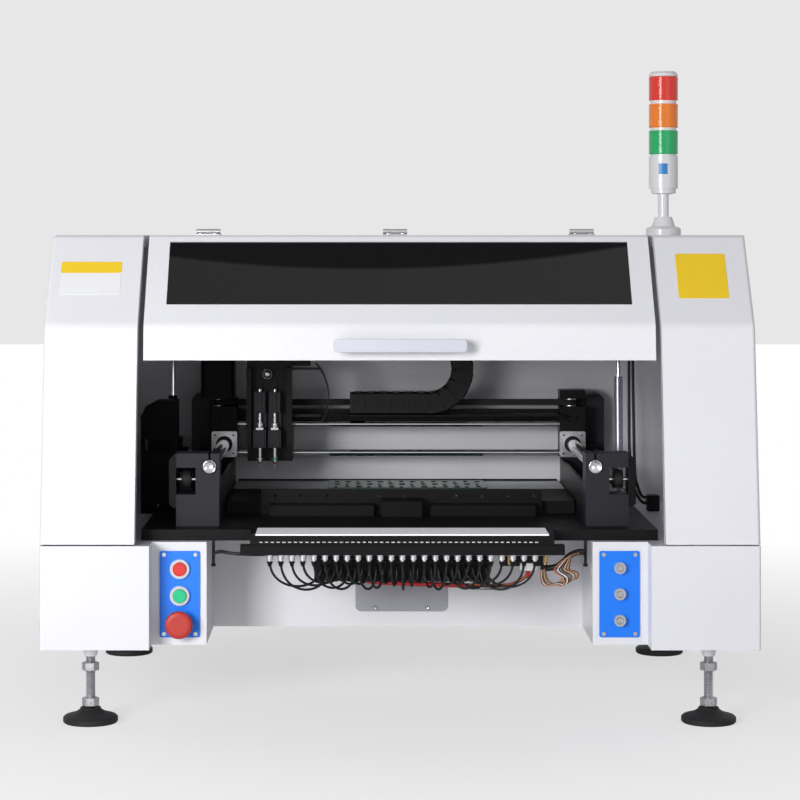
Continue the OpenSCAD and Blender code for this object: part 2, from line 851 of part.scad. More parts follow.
// Motor at the left end of the cross shaft, and the chamfered box over its driver
module y_motor() {
  left = -411;
  right = -352;
  front = 58;
  back = 102;
  wall = 3;
  color(black) {
    difference() {
      along_y(front, back)
        polygon([[left, bed_z], [right, bed_z], [right, 446], [left + 26, 446],
                 [left + 8, 436], [left, 420]]);
      along_y(front + wall, back + 1)
        polygon([[left + wall, bed_z + wall], [right - wall, bed_z + wall], [right - wall, 443],
                 [left + 27, 443], [left + 11, 434], [left + wall, 419]]);
      for (i = [0:7])
        block([left + 8 + i * 5, front - 1, 366], [left + 10.5 + i * 5, front + wall + 1, 384]);
    }
    block([left, front, base_top], [left + 22, back, bed_z]);
    block([left + 3, 178, 320], [right - 3, 220, 376]);
    block([left + 3, 198, base_top], [right - 10, 220, 320]);
    bar_x(right - 3, mech_x - 350.4, drive_y, pulley_z, 11);
  }
}

// ---- Gantry

// Housing for a Y bearing with the seats of the X rods
module carriage_body(top) {
  difference() {
    union() {
      translate([-21, bearing_y + flange_t, 347.5])
        cube([42, carriage_back - bearing_y - flange_t, top - 347.5]);
      translate([-21, bearing_y, 390]) cube([42, 10, top - 390]);
      translate([-21, carriage_back - 7, top - 1]) cube([42, 7, 444 - top]);
    }
    bar_y(bearing_y, carriage_back + 1, 0, shaft_z, barrel_r);
    for (x = [-7, 7], z = [407, 414]) bar_y(bearing_y - 1, bearing_y + 8, x, z, 1.4);
  }
}

module rod_seats() {
  bar_x(mech_x - 275.3, mech_x + 275.3, rod_y, upper_rod_z, rod_r);
  bar_x(mech_x - 269.3, mech_x + 269.3, rod_y, lower_rod_z, rod_r);
}

// Jaws that hold one strand of the Y belt
module belt_jaws() {
  difference() {
    block([20.9, 156, 350], [belt_off + 6, 180, 368]);
    block([belt_off - belt_w / 2 - 1, 155, 358.9], [belt_off + 7, 181, 361.9]);
  }
}

module carriage_left() {
  color(charcoal) difference() {
    translate([mech_x - shaft_half, 0, 0]) {
      carriage_body(430);
      mirror([1, 0, 0]) belt_jaws();
    }
    rod_seats();
  }
}

module carriage_right() {
  color(charcoal) difference() {
    translate([mech_x + shaft_half, 0, 0]) {
      carriage_body(430);
      belt_jaws();
      // cap over the X idler
      block([-21, bearing_y, 443], [21, carriage_back, 457]);
      bar_z(430, 443, x_idler_x - mech_x - shaft_half, rod_y - 2, 2.5);
    }
    rod_seats();
  }
}

// Flange bearings: square flange with four screws, barrel inside the carriage
module y_bearings() {
  color(silver) both_sides() translate([shaft_half, 0, shaft_z]) difference() {
    union() {
      along_y(bearing_y, bearing_y + flange_t) round_rect(flange_w, flange_w, 3);
      bar_y(bearing_y + flange_t, carriage_back - 0.5, 0, 0, barrel_r);
      for (x = [-15, 15], z = [-15, 15]) bar_y(bearing_y - 2.5, bearing_y, x, z, 3.5);
    }
    bar_y(bearing_y - 1, carriage_back + 1, 0, 0, shaft_r + 0.05);
    bar_y(bearing_y - 1, bearing_y + 2, 0, 0, 13.5);
    for (x = [-15, 15], z = [-15, 15])
      translate([x, bearing_y - 1, z]) rotate([90, 0, 0]) linear_extrude(3) hexagon(3);
  }
}

// Beam behind the rods, with the arm and tray of the cable chain
module x_beam() {
  left = mech_x - shaft_half + 21;
  right = mech_x + shaft_half - 21;
  color(black) {
    difference() {
      block([left, 176, 404], [right, 188, 424]);
      for (z = [409, 416]) block([left - 1, 174, z], [right + 1, 178, z + 3]);
    }
    block([chain_fix_x - 4, 185, 424], [chain_fix_x + 21, 188, 449]);
    block([chain_fix_x - 4, 138, 446], [chain_fix_x + 21, 186, 449]);
    block([chain_fix_x - 4, 138, 415], [chain_fix_x + 21, 141, 447]);
    block([chain_fix_x - 4, chain_front, 417], [right, 143.5, 420]);
  }
}

module x_rods() {
  color(silver) rod_seats();
}

module x_motor() {
  color(silver) difference() {
    translate([x_motor_x, 164, 443]) linear_extrude(8) round_rect(55, 55, 4);
    bar_z(442, 452, x_motor_x, 164, 3.5);
  }
  color(black) translate([x_motor_x, 164, 451]) {
    linear_extrude(60) round_rect(55, 55, 7);
    translate([0, 0, 60]) linear_extrude(16) round_rect(55, 55, 4);
  }
}

module x_belt() {
  color(black) translate([0, 164, x_belt_z]) linear_extrude(x_belt_w)
    belt_loop(x_motor_x, x_idler_x, x_pulley_r + 0.8);
}

module x_drive_pulley() {
  color(silver) translate([x_motor_x, 164, x_belt_z + x_belt_w / 2]) {
    pulley(x_pulley_r - 1, 9.8, x_belt_w - 0.4, 0, 16);
    cylinder(h = 14, r = 3);
  }
}

module x_idler_pulley() {
  color(silver) translate([x_idler_x, 164, x_belt_z + x_belt_w / 2])
    pulley(x_pulley_r - 1, 9.8, x_belt_w - 0.4, 2.55);
}

// ---- Cable chain

// One link, its middle at the origin and its length along X
module chain_link() {
  depth = chain_back - chain_front;
  half = link_pitch / 2 - link_gap / 2;
  side_t = 4;
  difference() {
    union() {
      // side plates with a round nose that laps into the next link
      for (y = [0, depth - side_t])
        along_y(y, y + side_t) {
          translate([-half, -chain_h / 2]) square([half * 1.2, chain_h]);
          translate([half - 7, 0]) circle(r = 7);
          translate([-half, -chain_h / 2 + 3]) square([2 * half - 3, chain_h - 6]);
        }
      // cross bars
      for (z = [-chain_h / 2, chain_h / 2 - 5])
        block([-half, 0, z], [half * 0.5, depth, z + 5]);
    }
    for (y = [-1, depth - 1])
      translate([-half + 6, y, 0]) rotate([-90, 0, 0]) cylinder(h = 2, r = 3);
  }
}

module chain_run(x0, count, z) {
  for (i = [0:count - 1])
    translate([x0 + (i + 0.5) * link_pitch, chain_front, z]) chain_link();
}

module chain_lower_run() {
  color(black) chain_run(chain_fix_x, lower_links, chain_low + chain_h / 2);
}

// Links round the bend, each kept to its own wedge of the half circle
module chain_bend() {
  step = 180 / bend_links;
  reach = chain_r + chain_h;
  side = reach * tan(step / 2 - 0.5);
  color(black) translate([bend_x, chain_front, bend_z])
    for (i = [0:bend_links - 1])
      rotate([0, -(i + 0.5) * step, 0]) intersection() {
        translate([0, 0, -chain_r]) chain_link();
        along_y(-1, chain_back - chain_front + 1) polygon([[0, 0], [-side, -reach], [side, -reach]]);
      }
}

module chain_upper_run() {
  color(black) translate([0, 0, 2 * bend_z])
    mirror([0, 0, 1])
      chain_run(bend_x - upper_links * link_pitch, upper_links, chain_low + chain_h / 2);
}

// ---- Head

module head_plate() {
  left = head_x - head_half;
  right = head_x + head_half;
  color(charcoal) difference() {
    union() {
      // front plate with round upper corners
      along_y(head_front, head_back) {
        translate([head_x, (head_low + head_top) / 2])
          round_rect(2 * head_half, head_top - head_low, 14);
        translate([left, head_low]) square([2 * head_half, 60]);
      }
      // cheeks and slide rails
      for (x = [left, right - 8]) block([x, head_front - 20, 372], [x + 8, head_front, 498]);
      for (x = nozzle_x)
        block([x - 4, head_front - 4, 372], [x + 4, head_front, 478]);
      // slider on the X rods and the tongue that clamps the belt
      block([left, head_back, 346], [right, 175.5, 411]);
      block([head_x - 20, 150, 411], [head_x + 20, 175.5, 444]);
      // arm to the moving end of the cable chain
      block([right - 9, head_back - 4, 500], [right + 30, chain_front, 560]);
    }
    for (z = [upper_rod_z, lower_rod_z])
      bar_x(left - 1, right + 1, rod_y, z, rod_r + 0.06);
    for (y = [156, 172])
      block([head_x - 21, y - 1.3, x_belt_z - 0.5], [head_x + 21, y + 1.3, 445]);
    block([left + 14, head_back + 8, 345], [right - 14, 158, 404]);
    bar_y(head_front - 1, head_back + 1, head_x - 3.1, z_pulley_z, 4);
  }
}

// Curved guard on the head's right side, on two arms
module head_cover() {
  right = head_x + head_half;
  color(black) {
    along_y(62, 96) difference() {
      translate([right - 20, 452]) circle(r = 80);
      translate([right - 21.5, 452]) circle(r = 79.5);
      translate([right - 120, 340]) square([120, 240]);
      translate([right - 10, 340]) square([80, 72]);
      translate([right - 10, 505]) square([80, 60]);
    }
    for (z = [418, 494]) block([right, 84, z], [right + 45, 88, z + 4]);
  }
}

module z_motor() {
  color(black) translate([head_x - 3.1, 0, z_pulley_z]) {
    along_y(head_back, head_back + 34) round_rect(42, 42, 5);
  }
}

module z_pulley() {
  color(silver) translate([head_x - 3.1, 0, z_pulley_z]) {
    bar_y(68, 78, 0, 0, 7.5);
    bar_y(66.6, 68, 0, 0, 6);
    bar_y(78, head_back - 0.3, 0, 0, 2.5);
  }
}

// Nozzle slide: lower block with the spindle's guide, upper block with its motor
module nozzle_slide(x) {
  color(charcoal) difference() {
    translate([x, 0, 0]) {
      block([-10.4, nozzle_y - 10, 370], [10.4, head_front - 4.3, 399]);
      block([-10.4, head_front - 7, 370], [10.4, head_front - 4.3, 462]);
      block([-9, nozzle_y - 9, 426], [9, head_front - 4.3, 460]);
    }
    bar_z(360, 470, x, nozzle_y, 3.05);
  }
}

module nozzle_left() { nozzle_slide(nozzle_x[0]); }
module nozzle_right() { nozzle_slide(nozzle_x[1]); }

// Hollow spindle with its collar and suction nozzle
module spindle(x) {
  color(silver) translate([x, nozzle_y, 0]) rotate_extrude()
    polygon([[0, 336], [0.8, 336], [1.2, 343], [3, 347], [3, 351], [5.5, 351], [5.5, 353],
             [3, 353], [3, 399.4], [6.3, 399.4], [6.3, 404], [3, 404], [3, 464], [0, 464]]);
}

module spindle_left() { spindle(nozzle_x[0]); }
module spindle_right() { spindle(nozzle_x[1]); }

// ---- Buttons

module push_button(z) {
  front = panel_y - panel_t - 9;
  translate([-panel_x, front, z]) rotate([-90, 0, 0]) {
    cylinder(h = 1, r1 = 9, r2 = 10);
    translate([0, 0, 1]) cylinder(h = 11, r = 10);
    translate([0, 0, 11]) cylinder(h = 4, r = 5);
  }
}

module red_button() { color(red) push_button(red_z); }
module green_button() { color(green) push_button(green_z); }

module estop_button() {
  color(red) translate([-panel_x, panel_y - panel_t - 27, estop_z]) rotate([-90, 0, 0])
    rotate_extrude() polygon([
      [0, 0], [14, 0], [18, 1.5], [20, 5], [20, 9], [17, 12], [12, 14], [12, 15], [8, 15],
      [8, 30], [0, 30]
    ]);
}

base_housing();
side_cover_left();
side_cover_right();
top_plate();
rear_panel();
inner_rear_wall();
bed_plate();
shaft_blocks();
steel_shafts();
rail_walls();
y_belts();
y_motor();
board_platform();
feeder_blocks();
tape_guides();
front_bar();
solenoids();
wiring();
cable_fittings();
access_cover();
panel_plates();
panel_fittings();
foot_pads();
foot_studs();
foot_nuts();
tower_mast();
tower_lenses();
hinge_leaves();
strut_brackets();
red_button();
green_button();
estop_button();
hood_shell();
hood_window();
hood_handle();
hood_hinge_leaves();
strut_cylinders();
strut_rods();
y_idlers();
y_drive_shaft();
carriage_left();
carriage_right();
y_bearings();
x_beam();
x_rods();
x_motor();
x_belt();
x_drive_pulley();
x_idler_pulley();
chain_lower_run();
chain_bend();
chain_upper_run();
head_plate();
head_cover();
z_motor();
nozzle_left();
nozzle_right();
spindle_left();
spindle_right();
z_pulley();
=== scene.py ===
import json
import math

import bpy
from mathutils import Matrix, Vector

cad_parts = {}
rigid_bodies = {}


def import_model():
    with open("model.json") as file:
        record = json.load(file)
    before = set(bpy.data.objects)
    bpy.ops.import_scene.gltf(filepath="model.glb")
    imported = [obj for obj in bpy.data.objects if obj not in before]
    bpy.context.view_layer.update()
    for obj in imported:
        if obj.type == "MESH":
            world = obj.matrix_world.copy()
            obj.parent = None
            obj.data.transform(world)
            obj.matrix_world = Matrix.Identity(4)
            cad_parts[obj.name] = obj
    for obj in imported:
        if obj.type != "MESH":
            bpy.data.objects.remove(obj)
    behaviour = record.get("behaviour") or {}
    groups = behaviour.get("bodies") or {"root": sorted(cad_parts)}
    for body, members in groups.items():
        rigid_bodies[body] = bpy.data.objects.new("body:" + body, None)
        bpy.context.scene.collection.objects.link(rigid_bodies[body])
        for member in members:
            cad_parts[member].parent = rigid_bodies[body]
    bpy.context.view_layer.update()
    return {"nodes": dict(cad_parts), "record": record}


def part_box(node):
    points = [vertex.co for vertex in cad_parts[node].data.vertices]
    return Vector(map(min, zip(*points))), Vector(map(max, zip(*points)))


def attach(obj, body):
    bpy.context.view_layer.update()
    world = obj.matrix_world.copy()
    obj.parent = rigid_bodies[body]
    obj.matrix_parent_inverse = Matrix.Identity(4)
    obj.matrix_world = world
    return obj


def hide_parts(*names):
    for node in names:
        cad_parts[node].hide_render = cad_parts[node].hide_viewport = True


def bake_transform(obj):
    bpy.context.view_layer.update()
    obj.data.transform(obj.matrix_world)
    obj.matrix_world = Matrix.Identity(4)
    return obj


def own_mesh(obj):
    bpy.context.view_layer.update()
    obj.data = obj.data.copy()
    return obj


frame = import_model()
nodes = frame["nodes"]
bodies = frame["record"]["behaviour"]["bodies"]
print("frame loaded")


# ---------- small helpers for working by hand

def letGo():
    if bpy.context.object and bpy.context.object.mode != "OBJECT":
        bpy.ops.object.mode_set(mode="OBJECT")
    bpy.ops.object.select_all(action="DESELECT")


def pick(obj):
    letGo()
    obj.select_set(True)
    bpy.context.view_layer.objects.active = obj


def editing(obj):
    pick(obj)
    bpy.ops.object.mode_set(mode="EDIT")
    bpy.ops.mesh.select_mode(type="FACE")
    bpy.ops.mesh.select_all(action="DESELECT")


def chooseFaces(obj, test):
    # selects faces by their middle and normal, from object mode
    bpy.ops.object.mode_set(mode="OBJECT")
    for face in obj.data.polygons:
        face.select = bool(test(face.center, face.normal))
    bpy.ops.object.mode_set(mode="EDIT")


def applyPlace(obj):
    pick(obj)
    bpy.ops.object.transform_apply(location=True, rotation=True, scale=True)


def applyModifier(obj, kind, **settings):
    pick(obj)
    mod = obj.modifiers.new(kind.title(), kind)
    for key, value in settings.items():
        setattr(mod, key, value)
    bpy.ops.object.modifier_apply(modifier=mod.name)


def smooth(obj, angle=35):
    pick(obj)
    bpy.ops.object.shade_smooth_by_angle(angle=math.radians(angle))


def joined(pieces, name):
    letGo()
    for piece in pieces:
        piece.select_set(True)
    bpy.context.view_layer.objects.active = pieces[0]
    if len(pieces) > 1:
        bpy.ops.object.join()
    pieces[0].name = name
    return pieces[0]


def bodyOf(node):
    return next(name for name, members in bodies.items() if node in members)


def finished(piece, material, body, stands=()):
    if material:
        piece.data.materials.clear()
        piece.data.materials.append(material)
    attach(piece, body)
    for node in stands:
        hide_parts(node)
    return piece


# ---------- finishes

def link(tree, a, b):
    tree.links.new(a, b)


def noiseNode(tree, scale, detail=2.0, stretch=(1, 1, 1)):
    coords = tree.nodes.get("Coords") or tree.nodes.new("ShaderNodeTexCoord")
    coords.name = "Coords"
    mapping = tree.nodes.new("ShaderNodeMapping")
    mapping.inputs["Scale"].default_value = stretch
    noise = tree.nodes.new("ShaderNodeTexNoise")
    noise.inputs["Scale"].default_value = scale
    noise.inputs["Detail"].default_value = detail
    link(tree, coords.outputs["Object"], mapping.inputs["Vector"])
    link(tree, mapping.outputs["Vector"], noise.inputs["Vector"])
    return noise


def ranged(tree, value, low, high, start=0.3, end=0.7):
    node = tree.nodes.new("ShaderNodeMapRange")
    node.inputs["From Min"].default_value = start
    node.inputs["From Max"].default_value = end
    node.inputs["To Min"].default_value = low
    node.inputs["To Max"].default_value = high
    link(tree, value, node.inputs["Value"])
    return node.outputs["Result"]


def mixColours(tree, fac, a, b):
    node = tree.nodes.new("ShaderNodeMix")
    node.data_type = "RGBA"
    link(tree, fac, node.inputs[0])
    for socket, value in ((node.inputs[6], a), (node.inputs[7], b)):
        if isinstance(value, tuple):
            socket.default_value = (*value, 1)
        else:
            link(tree, value, socket)
    return node.outputs[2]


def finish(name, colour, rough=(0.3, 0.4), metal=0.0, shade=0.04, grain=400, stretch=(1, 1, 1),
           bump=0.1, depth=0.0002, blotch=7, coat=0.0, through=0.0, ior=1.5, glow=0.0, rings=None,
           specular=0.5, sheen=0.0):
    material = bpy.data.materials.new(name)
    material.use_nodes = True
    tree = material.node_tree
    shader = tree.nodes["Principled BSDF"]
    shader.inputs["Metallic"].default_value = metal
    shader.inputs["Coat Weight"].default_value = coat
    shader.inputs["Coat Roughness"].default_value = 0.08
    shader.inputs["Transmission Weight"].default_value = through
    shader.inputs["IOR"].default_value = ior
    shader.inputs["Specular IOR Level"].default_value = specular
    shader.inputs["Sheen Weight"].default_value = sheen
    # glow is painted light: emission in the surface's own colour, used on parts that are not lit
    # lamps
    if glow:
        shader.inputs["Emission Color"].default_value = (*colour, 1)
        shader.inputs["Emission Strength"].default_value = glow
    large = noiseNode(tree, blotch, 3.0)
    fine = noiseNode(tree, grain, 3.0, stretch)
    darker = tuple(c * (1 - shade) for c in colour)
    lighter = tuple(min(1.0, c * (1 + shade)) for c in colour)
    link(tree, mixColours(tree, ranged(tree, large.outputs["Fac"], 0, 1), darker, lighter),
         shader.inputs["Base Color"])
    link(tree, ranged(tree, fine.outputs["Fac"], rough[0], rough[1]), shader.inputs["Roughness"])
    height = fine.outputs["Fac"]
    if rings:
        # rings or ribs turned into the surface: direction and pitch in metres
        wave = tree.nodes.new("ShaderNodeTexWave")
        wave.bands_direction = rings[0]
        wave.inputs["Scale"].default_value = 0.314159 / rings[1]
        wave.inputs["Distortion"].default_value = 0
        link(tree, tree.nodes["Coords"].outputs["Object"], wave.inputs["Vector"])
        height = wave.outputs["Fac"]
    node = tree.nodes.new("ShaderNodeBump")
    node.inputs["Strength"].default_value = bump
    node.inputs["Distance"].default_value = depth
    link(tree, height, node.inputs["Height"])
    link(tree, node.outputs["Normal"], shader.inputs["Normal"])
    return material


whitePaint = finish("powderCoatWhite", (0.80, 0.80, 0.835), (0.30, 0.42), grain=520, shade=0.012,
                    bump=0.12, depth=0.00015, coat=0.15)
whiteHood = finish("powderCoatHood", (0.83, 0.83, 0.86), (0.24, 0.34), grain=520, shade=0.01,
                   bump=0.10, depth=0.00012, coat=0.25)
greyPaint = finish("wallGrey", (0.66, 0.66, 0.69), (0.38, 0.5), grain=480, shade=0.03, bump=0.15)
platformGrey = finish("platformGrey", (0.55, 0.56, 0.57), (0.32, 0.45), grain=600, shade=0.03,
                      metal=0.3, stretch=(0.05, 1, 1))
coverGrey = finish("accessGrey", (0.37, 0.37, 0.41), (0.4, 0.5), grain=520, shade=0.02, bump=0.12)
blackAnodised = finish("anodisedBlack", (0.006, 0.006, 0.0068), (0.34, 0.46), grain=900,
                       shade=0.15, bump=0.2, depth=0.0001, specular=0.14)
charcoal = finish("anodisedCharcoal", (0.020, 0.020, 0.026), (0.36, 0.46), grain=900,
                  shade=0.1, bump=0.2, depth=0.0001, specular=0.22)
sootBlack = finish("motorBlack", (0.005, 0.005, 0.0055), (0.34, 0.5), grain=700,
                   shade=0.2, bump=0.2, specular=0.12)
polished = finish("groundShaft", (0.78, 0.79, 0.81), (0.06, 0.14), metal=1.0, grain=900,
                  stretch=(1, 0.02, 1), shade=0.03, bump=0.05)
groundRod = finish("groundRod", (0.80, 0.81, 0.83), (0.08, 0.16), metal=1.0, grain=900,
                   stretch=(0.02, 1, 1), shade=0.03, bump=0.05)
brightSteel = finish("brightSteel", (0.66, 0.66, 0.68), (0.24, 0.30), metal=0.9, grain=2600,
                     shade=0.03, bump=0.02)
zinc = finish("zincPlated", (0.58, 0.58, 0.60), (0.24, 0.38), metal=1.0, grain=260, shade=0.08,
              bump=0.15)
silver = finish("clearAnodised", (0.74, 0.75, 0.77), (0.28, 0.4), metal=0.9, grain=700,
                stretch=(0.03, 1, 1), shade=0.03, bump=0.15)
# the tape plate carries a painted glow that brightens it beyond what the lamps give it
tapeSilver = finish("tapePlate", (0.93, 0.935, 0.95), (0.3, 0.4), grain=900,
                    stretch=(1, 0.05, 1), shade=0.02, bump=0.1, glow=0.22)
# lit copy of the strut cylinder finish, only on the right cylinder; the left one keeps the motor
# black as painted shade
strutLitGrey = finish("strutLitGrey", (0.36, 0.36, 0.43), (0.22, 0.3), metal=0.5, grain=900, shade=0.03,
                   bump=0.03)
handleMetal = finish("handleMetal", (0.70, 0.70, 0.80), (0.26, 0.34), metal=0.35, grain=1800,
                     shade=0.02, bump=0.03)
rubber = finish("footRubber", (0.012, 0.012, 0.013), (0.5, 0.7), grain=900, shade=0.2, bump=0.4,
                specular=0.35)
beltRubber = finish("beltRubber", (0.012, 0.012, 0.013), (0.6, 0.75), grain=1500, shade=0.2,
                    bump=0.5, specular=0.3)
blackPlastic = finish("blackPlastic", (0.007, 0.007, 0.008), (0.32, 0.46), grain=1100, shade=0.15,
                      bump=0.35, depth=0.0001, specular=0.2)
cableBlack = finish("cableSheath", (0.007, 0.007, 0.008), (0.36, 0.5), grain=800, shade=0.2,
                    bump=0.2, specular=0.35)
bluePaint = finish("panelBlue", (0.002, 0.20, 0.93), (0.3, 0.42), grain=520, shade=0.03,
                   bump=0.15, coat=0.1)
# both push buttons carry a faint painted glow that brightens their colour
redPlastic = finish("buttonRed", (0.70, 0.016, 0.012), (0.14, 0.22), grain=300, shade=0.05,
                    bump=0.03, coat=0.5, glow=0.06)
greenPlastic = finish("buttonGreen", (0.004, 0.55, 0.24), (0.14, 0.22), grain=300, shade=0.05,
                      bump=0.03, coat=0.5, glow=0.06)
mushroomRed = finish("stopRed", (0.52, 0.035, 0.025), (0.4, 0.52), grain=900, shade=0.05,
                     bump=0.25)
whitePlastic = finish("lampWhite", (0.80, 0.80, 0.82), (0.24, 0.34), grain=500, shade=0.02,
                      bump=0.05, coat=0.2)
# the three lenses carry a faint painted glow, standing in for light passing through the coloured
# plastic, so that they stay saturated
lensRed = finish("lensRed", (0.74, 0.028, 0.012), (0.12, 0.2), shade=0.05, coat=0.4, glow=0.10,
                 rings=("Z", 0.0022), bump=0.55, depth=0.0005)
lensAmber = finish("lensAmber", (0.85, 0.20, 0.008), (0.12, 0.2), shade=0.05, coat=0.4, glow=0.12,
                   rings=("Z", 0.0022), bump=0.55, depth=0.0005)
lensGreen = finish("lensGreen", (0.006, 0.42, 0.13), (0.12, 0.2), shade=0.05, coat=0.4, glow=0.08,
                   rings=("Z", 0.0022), bump=0.55, depth=0.0005)
smoked = finish("smokedAcrylic", (0.008, 0.008, 0.009), (0.006, 0.012), shade=0.02, bump=0.0,
                through=0.25, ior=1.49)
brass = finish("brass", (0.80, 0.56, 0.22), (0.2, 0.32), metal=1.0, grain=400, shade=0.06)
plateYellow = finish("plateYellow", (0.92, 0.62, 0.02), (0.3, 0.42), grain=600, shade=0.02,
                     bump=0.05)
plateWhite = finish("plateWhite", (0.86, 0.86, 0.87), (0.3, 0.42), grain=600, shade=0.02, bump=0.05)
plateBlue = finish("plateBlue", (0.02, 0.24, 0.62), (0.3, 0.42), grain=600, shade=0.02, bump=0.05)
boardGreen = finish("boardGreen", (0.012, 0.060, 0.034), (0.28, 0.4), grain=600, shade=0.2,
                    bump=0.2, coat=0.3)
whiteNylon = finish("nylonWhite", (0.82, 0.82, 0.80), (0.35, 0.45), grain=700, shade=0.03,
                    bump=0.1)
loomRed = finish("loomRed", (0.42, 0.014, 0.014), (0.4, 0.5), grain=900, shade=0.3, bump=0.3)
wireOrange = finish("wireOrange", (0.62, 0.20, 0.07), (0.35, 0.45), grain=900, shade=0.1)
wireBrown = finish("wireBrown", (0.17, 0.045, 0.02), (0.35, 0.45), grain=900, shade=0.1)
wireCream = finish("wireCream", (0.62, 0.50, 0.30), (0.35, 0.45), grain=900, shade=0.1)
wireWhite = finish("wireWhite", (0.80, 0.80, 0.82), (0.35, 0.45), grain=900, shade=0.05)
padGreen = finish("discGreen", (0.01, 0.28, 0.16), (0.4, 0.5), grain=900, shade=0.1)
print("finishes made")

# finish of every solid that keeps its own mesh or lends it to a rounded copy
finishOf = {
    "base_housing": whitePaint, "side_cover_left": whitePaint, "side_cover_right": whitePaint,
    "top_plate": whitePaint, "rear_panel": whitePaint, "inner_rear_wall": greyPaint,
    "bed_plate": blackAnodised, "shaft_blocks": charcoal, "steel_shafts": polished,
    "rail_walls": blackAnodised, "y_belts": beltRubber, "y_motor": sootBlack,
    "board_platform": platformGrey, "feeder_blocks": blackAnodised, "tape_guides": tapeSilver,
    "front_bar": blackAnodised, "solenoids": brightSteel, "wiring": cableBlack,
    "cable_fittings": blackPlastic, "access_cover": coverGrey, "panel_plates": bluePaint,
    "panel_fittings": brightSteel, "foot_pads": rubber, "foot_studs": zinc, "foot_nuts": zinc,
    "tower_mast": whitePlastic, "tower_lenses": lensRed, "hinge_leaves": brightSteel,
    "strut_brackets": zinc, "red_button": redPlastic, "green_button": greenPlastic,
    "estop_button": mushroomRed, "hood_shell": whiteHood, "hood_window": smoked,
    "hood_handle": handleMetal, "hood_hinge_leaves": brightSteel, "strut_cylinders": sootBlack,
    "strut_rods": polished, "y_idlers": blackPlastic, "y_drive_shaft": groundRod,
    "carriage_left": blackAnodised, "carriage_right": blackAnodised, "y_bearings": brightSteel,
    "x_beam": blackAnodised, "x_rods": groundRod, "x_motor": sootBlack, "x_belt": beltRubber,
    "x_drive_pulley": silver, "x_idler_pulley": silver, "chain_lower_run": blackPlastic,
    "chain_bend": blackPlastic, "chain_upper_run": blackPlastic, "head_plate": blackAnodised,
    "head_cover": blackPlastic, "z_motor": sootBlack, "nozzle_left": charcoal,
    "nozzle_right": charcoal, "spindle_left": brightSteel, "spindle_right": brightSteel,
    "z_pulley": brightSteel,
}
for nodeName, material in finishOf.items():
    mesh = nodes[nodeName].data
    mesh.materials.clear()
    mesh.materials.append(material)
    for face in mesh.polygons:
        face.material_index = 0
    smooth(nodes[nodeName], 32)
print("solids painted")


# ---------- rounded copies: the same sheet and blocks with their edges broken

def roundedCopy(node, edge, segments=2, fold=None, foldTest=None):
    source = nodes[node]
    piece = source.copy()
    piece.data = source.data.copy()
    piece.parent = None
    piece.name = node.replace("_", " ").title().replace(" ", "") + "Rounded"
    bpy.context.scene.collection.objects.link(piece)
    editing(piece)
    bpy.ops.mesh.select_all(action="SELECT")
    bpy.ops.mesh.remove_doubles(threshold=0.000005)
    bpy.ops.mesh.dissolve_limited(angle_limit=math.radians(1.5))
    if fold:
        bpy.ops.mesh.select_all(action="DESELECT")
        bpy.ops.object.mode_set(mode="OBJECT")
        mesh = piece.data
        for item in mesh.edges:
            a, b = (mesh.vertices[i].co for i in item.vertices)
            item.select = bool(foldTest(a, b))
        bpy.ops.object.mode_set(mode="EDIT")
        bpy.ops.mesh.select_mode(type="EDGE")
        bpy.ops.mesh.bevel(offset=fold, segments=5, affect="EDGES")
    letGo()
    applyModifier(piece, "BEVEL", width=edge, segments=segments, limit_method="ANGLE",
                  angle_limit=math.radians(40), use_clamp_overlap=True)
    smooth(piece, 40)
    applyModifier(piece, "WEIGHTED_NORMAL", weight=100, keep_sharp=True)
    return finished(piece, finishOf[node], bodyOf(node), (node,))


def along(a, b, axis, least):
    # an edge that runs along one axis and is at least so long
    run = b - a
    return abs(run[axis]) > least and abs(run[axis]) > 0.999 * run.length


def outerFold(node, least=0.1):
    low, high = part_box(node)

    def test(a, b):
        # corners of the outline at the very outside of the box, upright or along X
        middle = (a + b) / 2
        if along(a, b, 2, least):
            return (min(abs(middle.x - low[0]), abs(middle.x - high[0])) < 0.0005
                    and min(abs(middle.y - low[1]), abs(middle.y - high[1])) < 0.0005)
        return False
    return test


def coverFold(node):
    low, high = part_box(node)
    outer = high[0] if high[0] > 0.4 else low[0]

    def test(a, b):
        # folds of the front run along X, the outer side's edge follows the profile
        middle = (a + b) / 2
        onFront = middle.y < -0.19 and along(a, b, 0, 0.1) and middle.z > 0.3
        profile = (abs(a.x - outer) < 0.0005 and abs(b.x - outer) < 0.0005
                   and (b - a).length > 0.1 and middle.z > 0.28
                   and (middle.y < -0.19 or middle.z > high[2] - 0.001))
        return onFront and outside(middle, low, high) or profile
    return test


def outside(middle, low, high):
    # on the outer skin of the sloping front, not its inner face
    knee = (-0.300, 0.580)
    crown = (-0.200, 0.712)
    return min(math.hypot(middle.y - knee[0], middle.z - knee[1]),
               math.hypot(middle.y - crown[0], middle.z - crown[1])) < 0.0006


def hoodFold(a, b):
    middle = (a + b) / 2
    spots = ((-0.291, 0.580), (-0.190, 0.712))
    return along(a, b, 0, 0.3) and min(
        math.hypot(middle.y - y, middle.z - z) for y, z in spots) < 0.0006


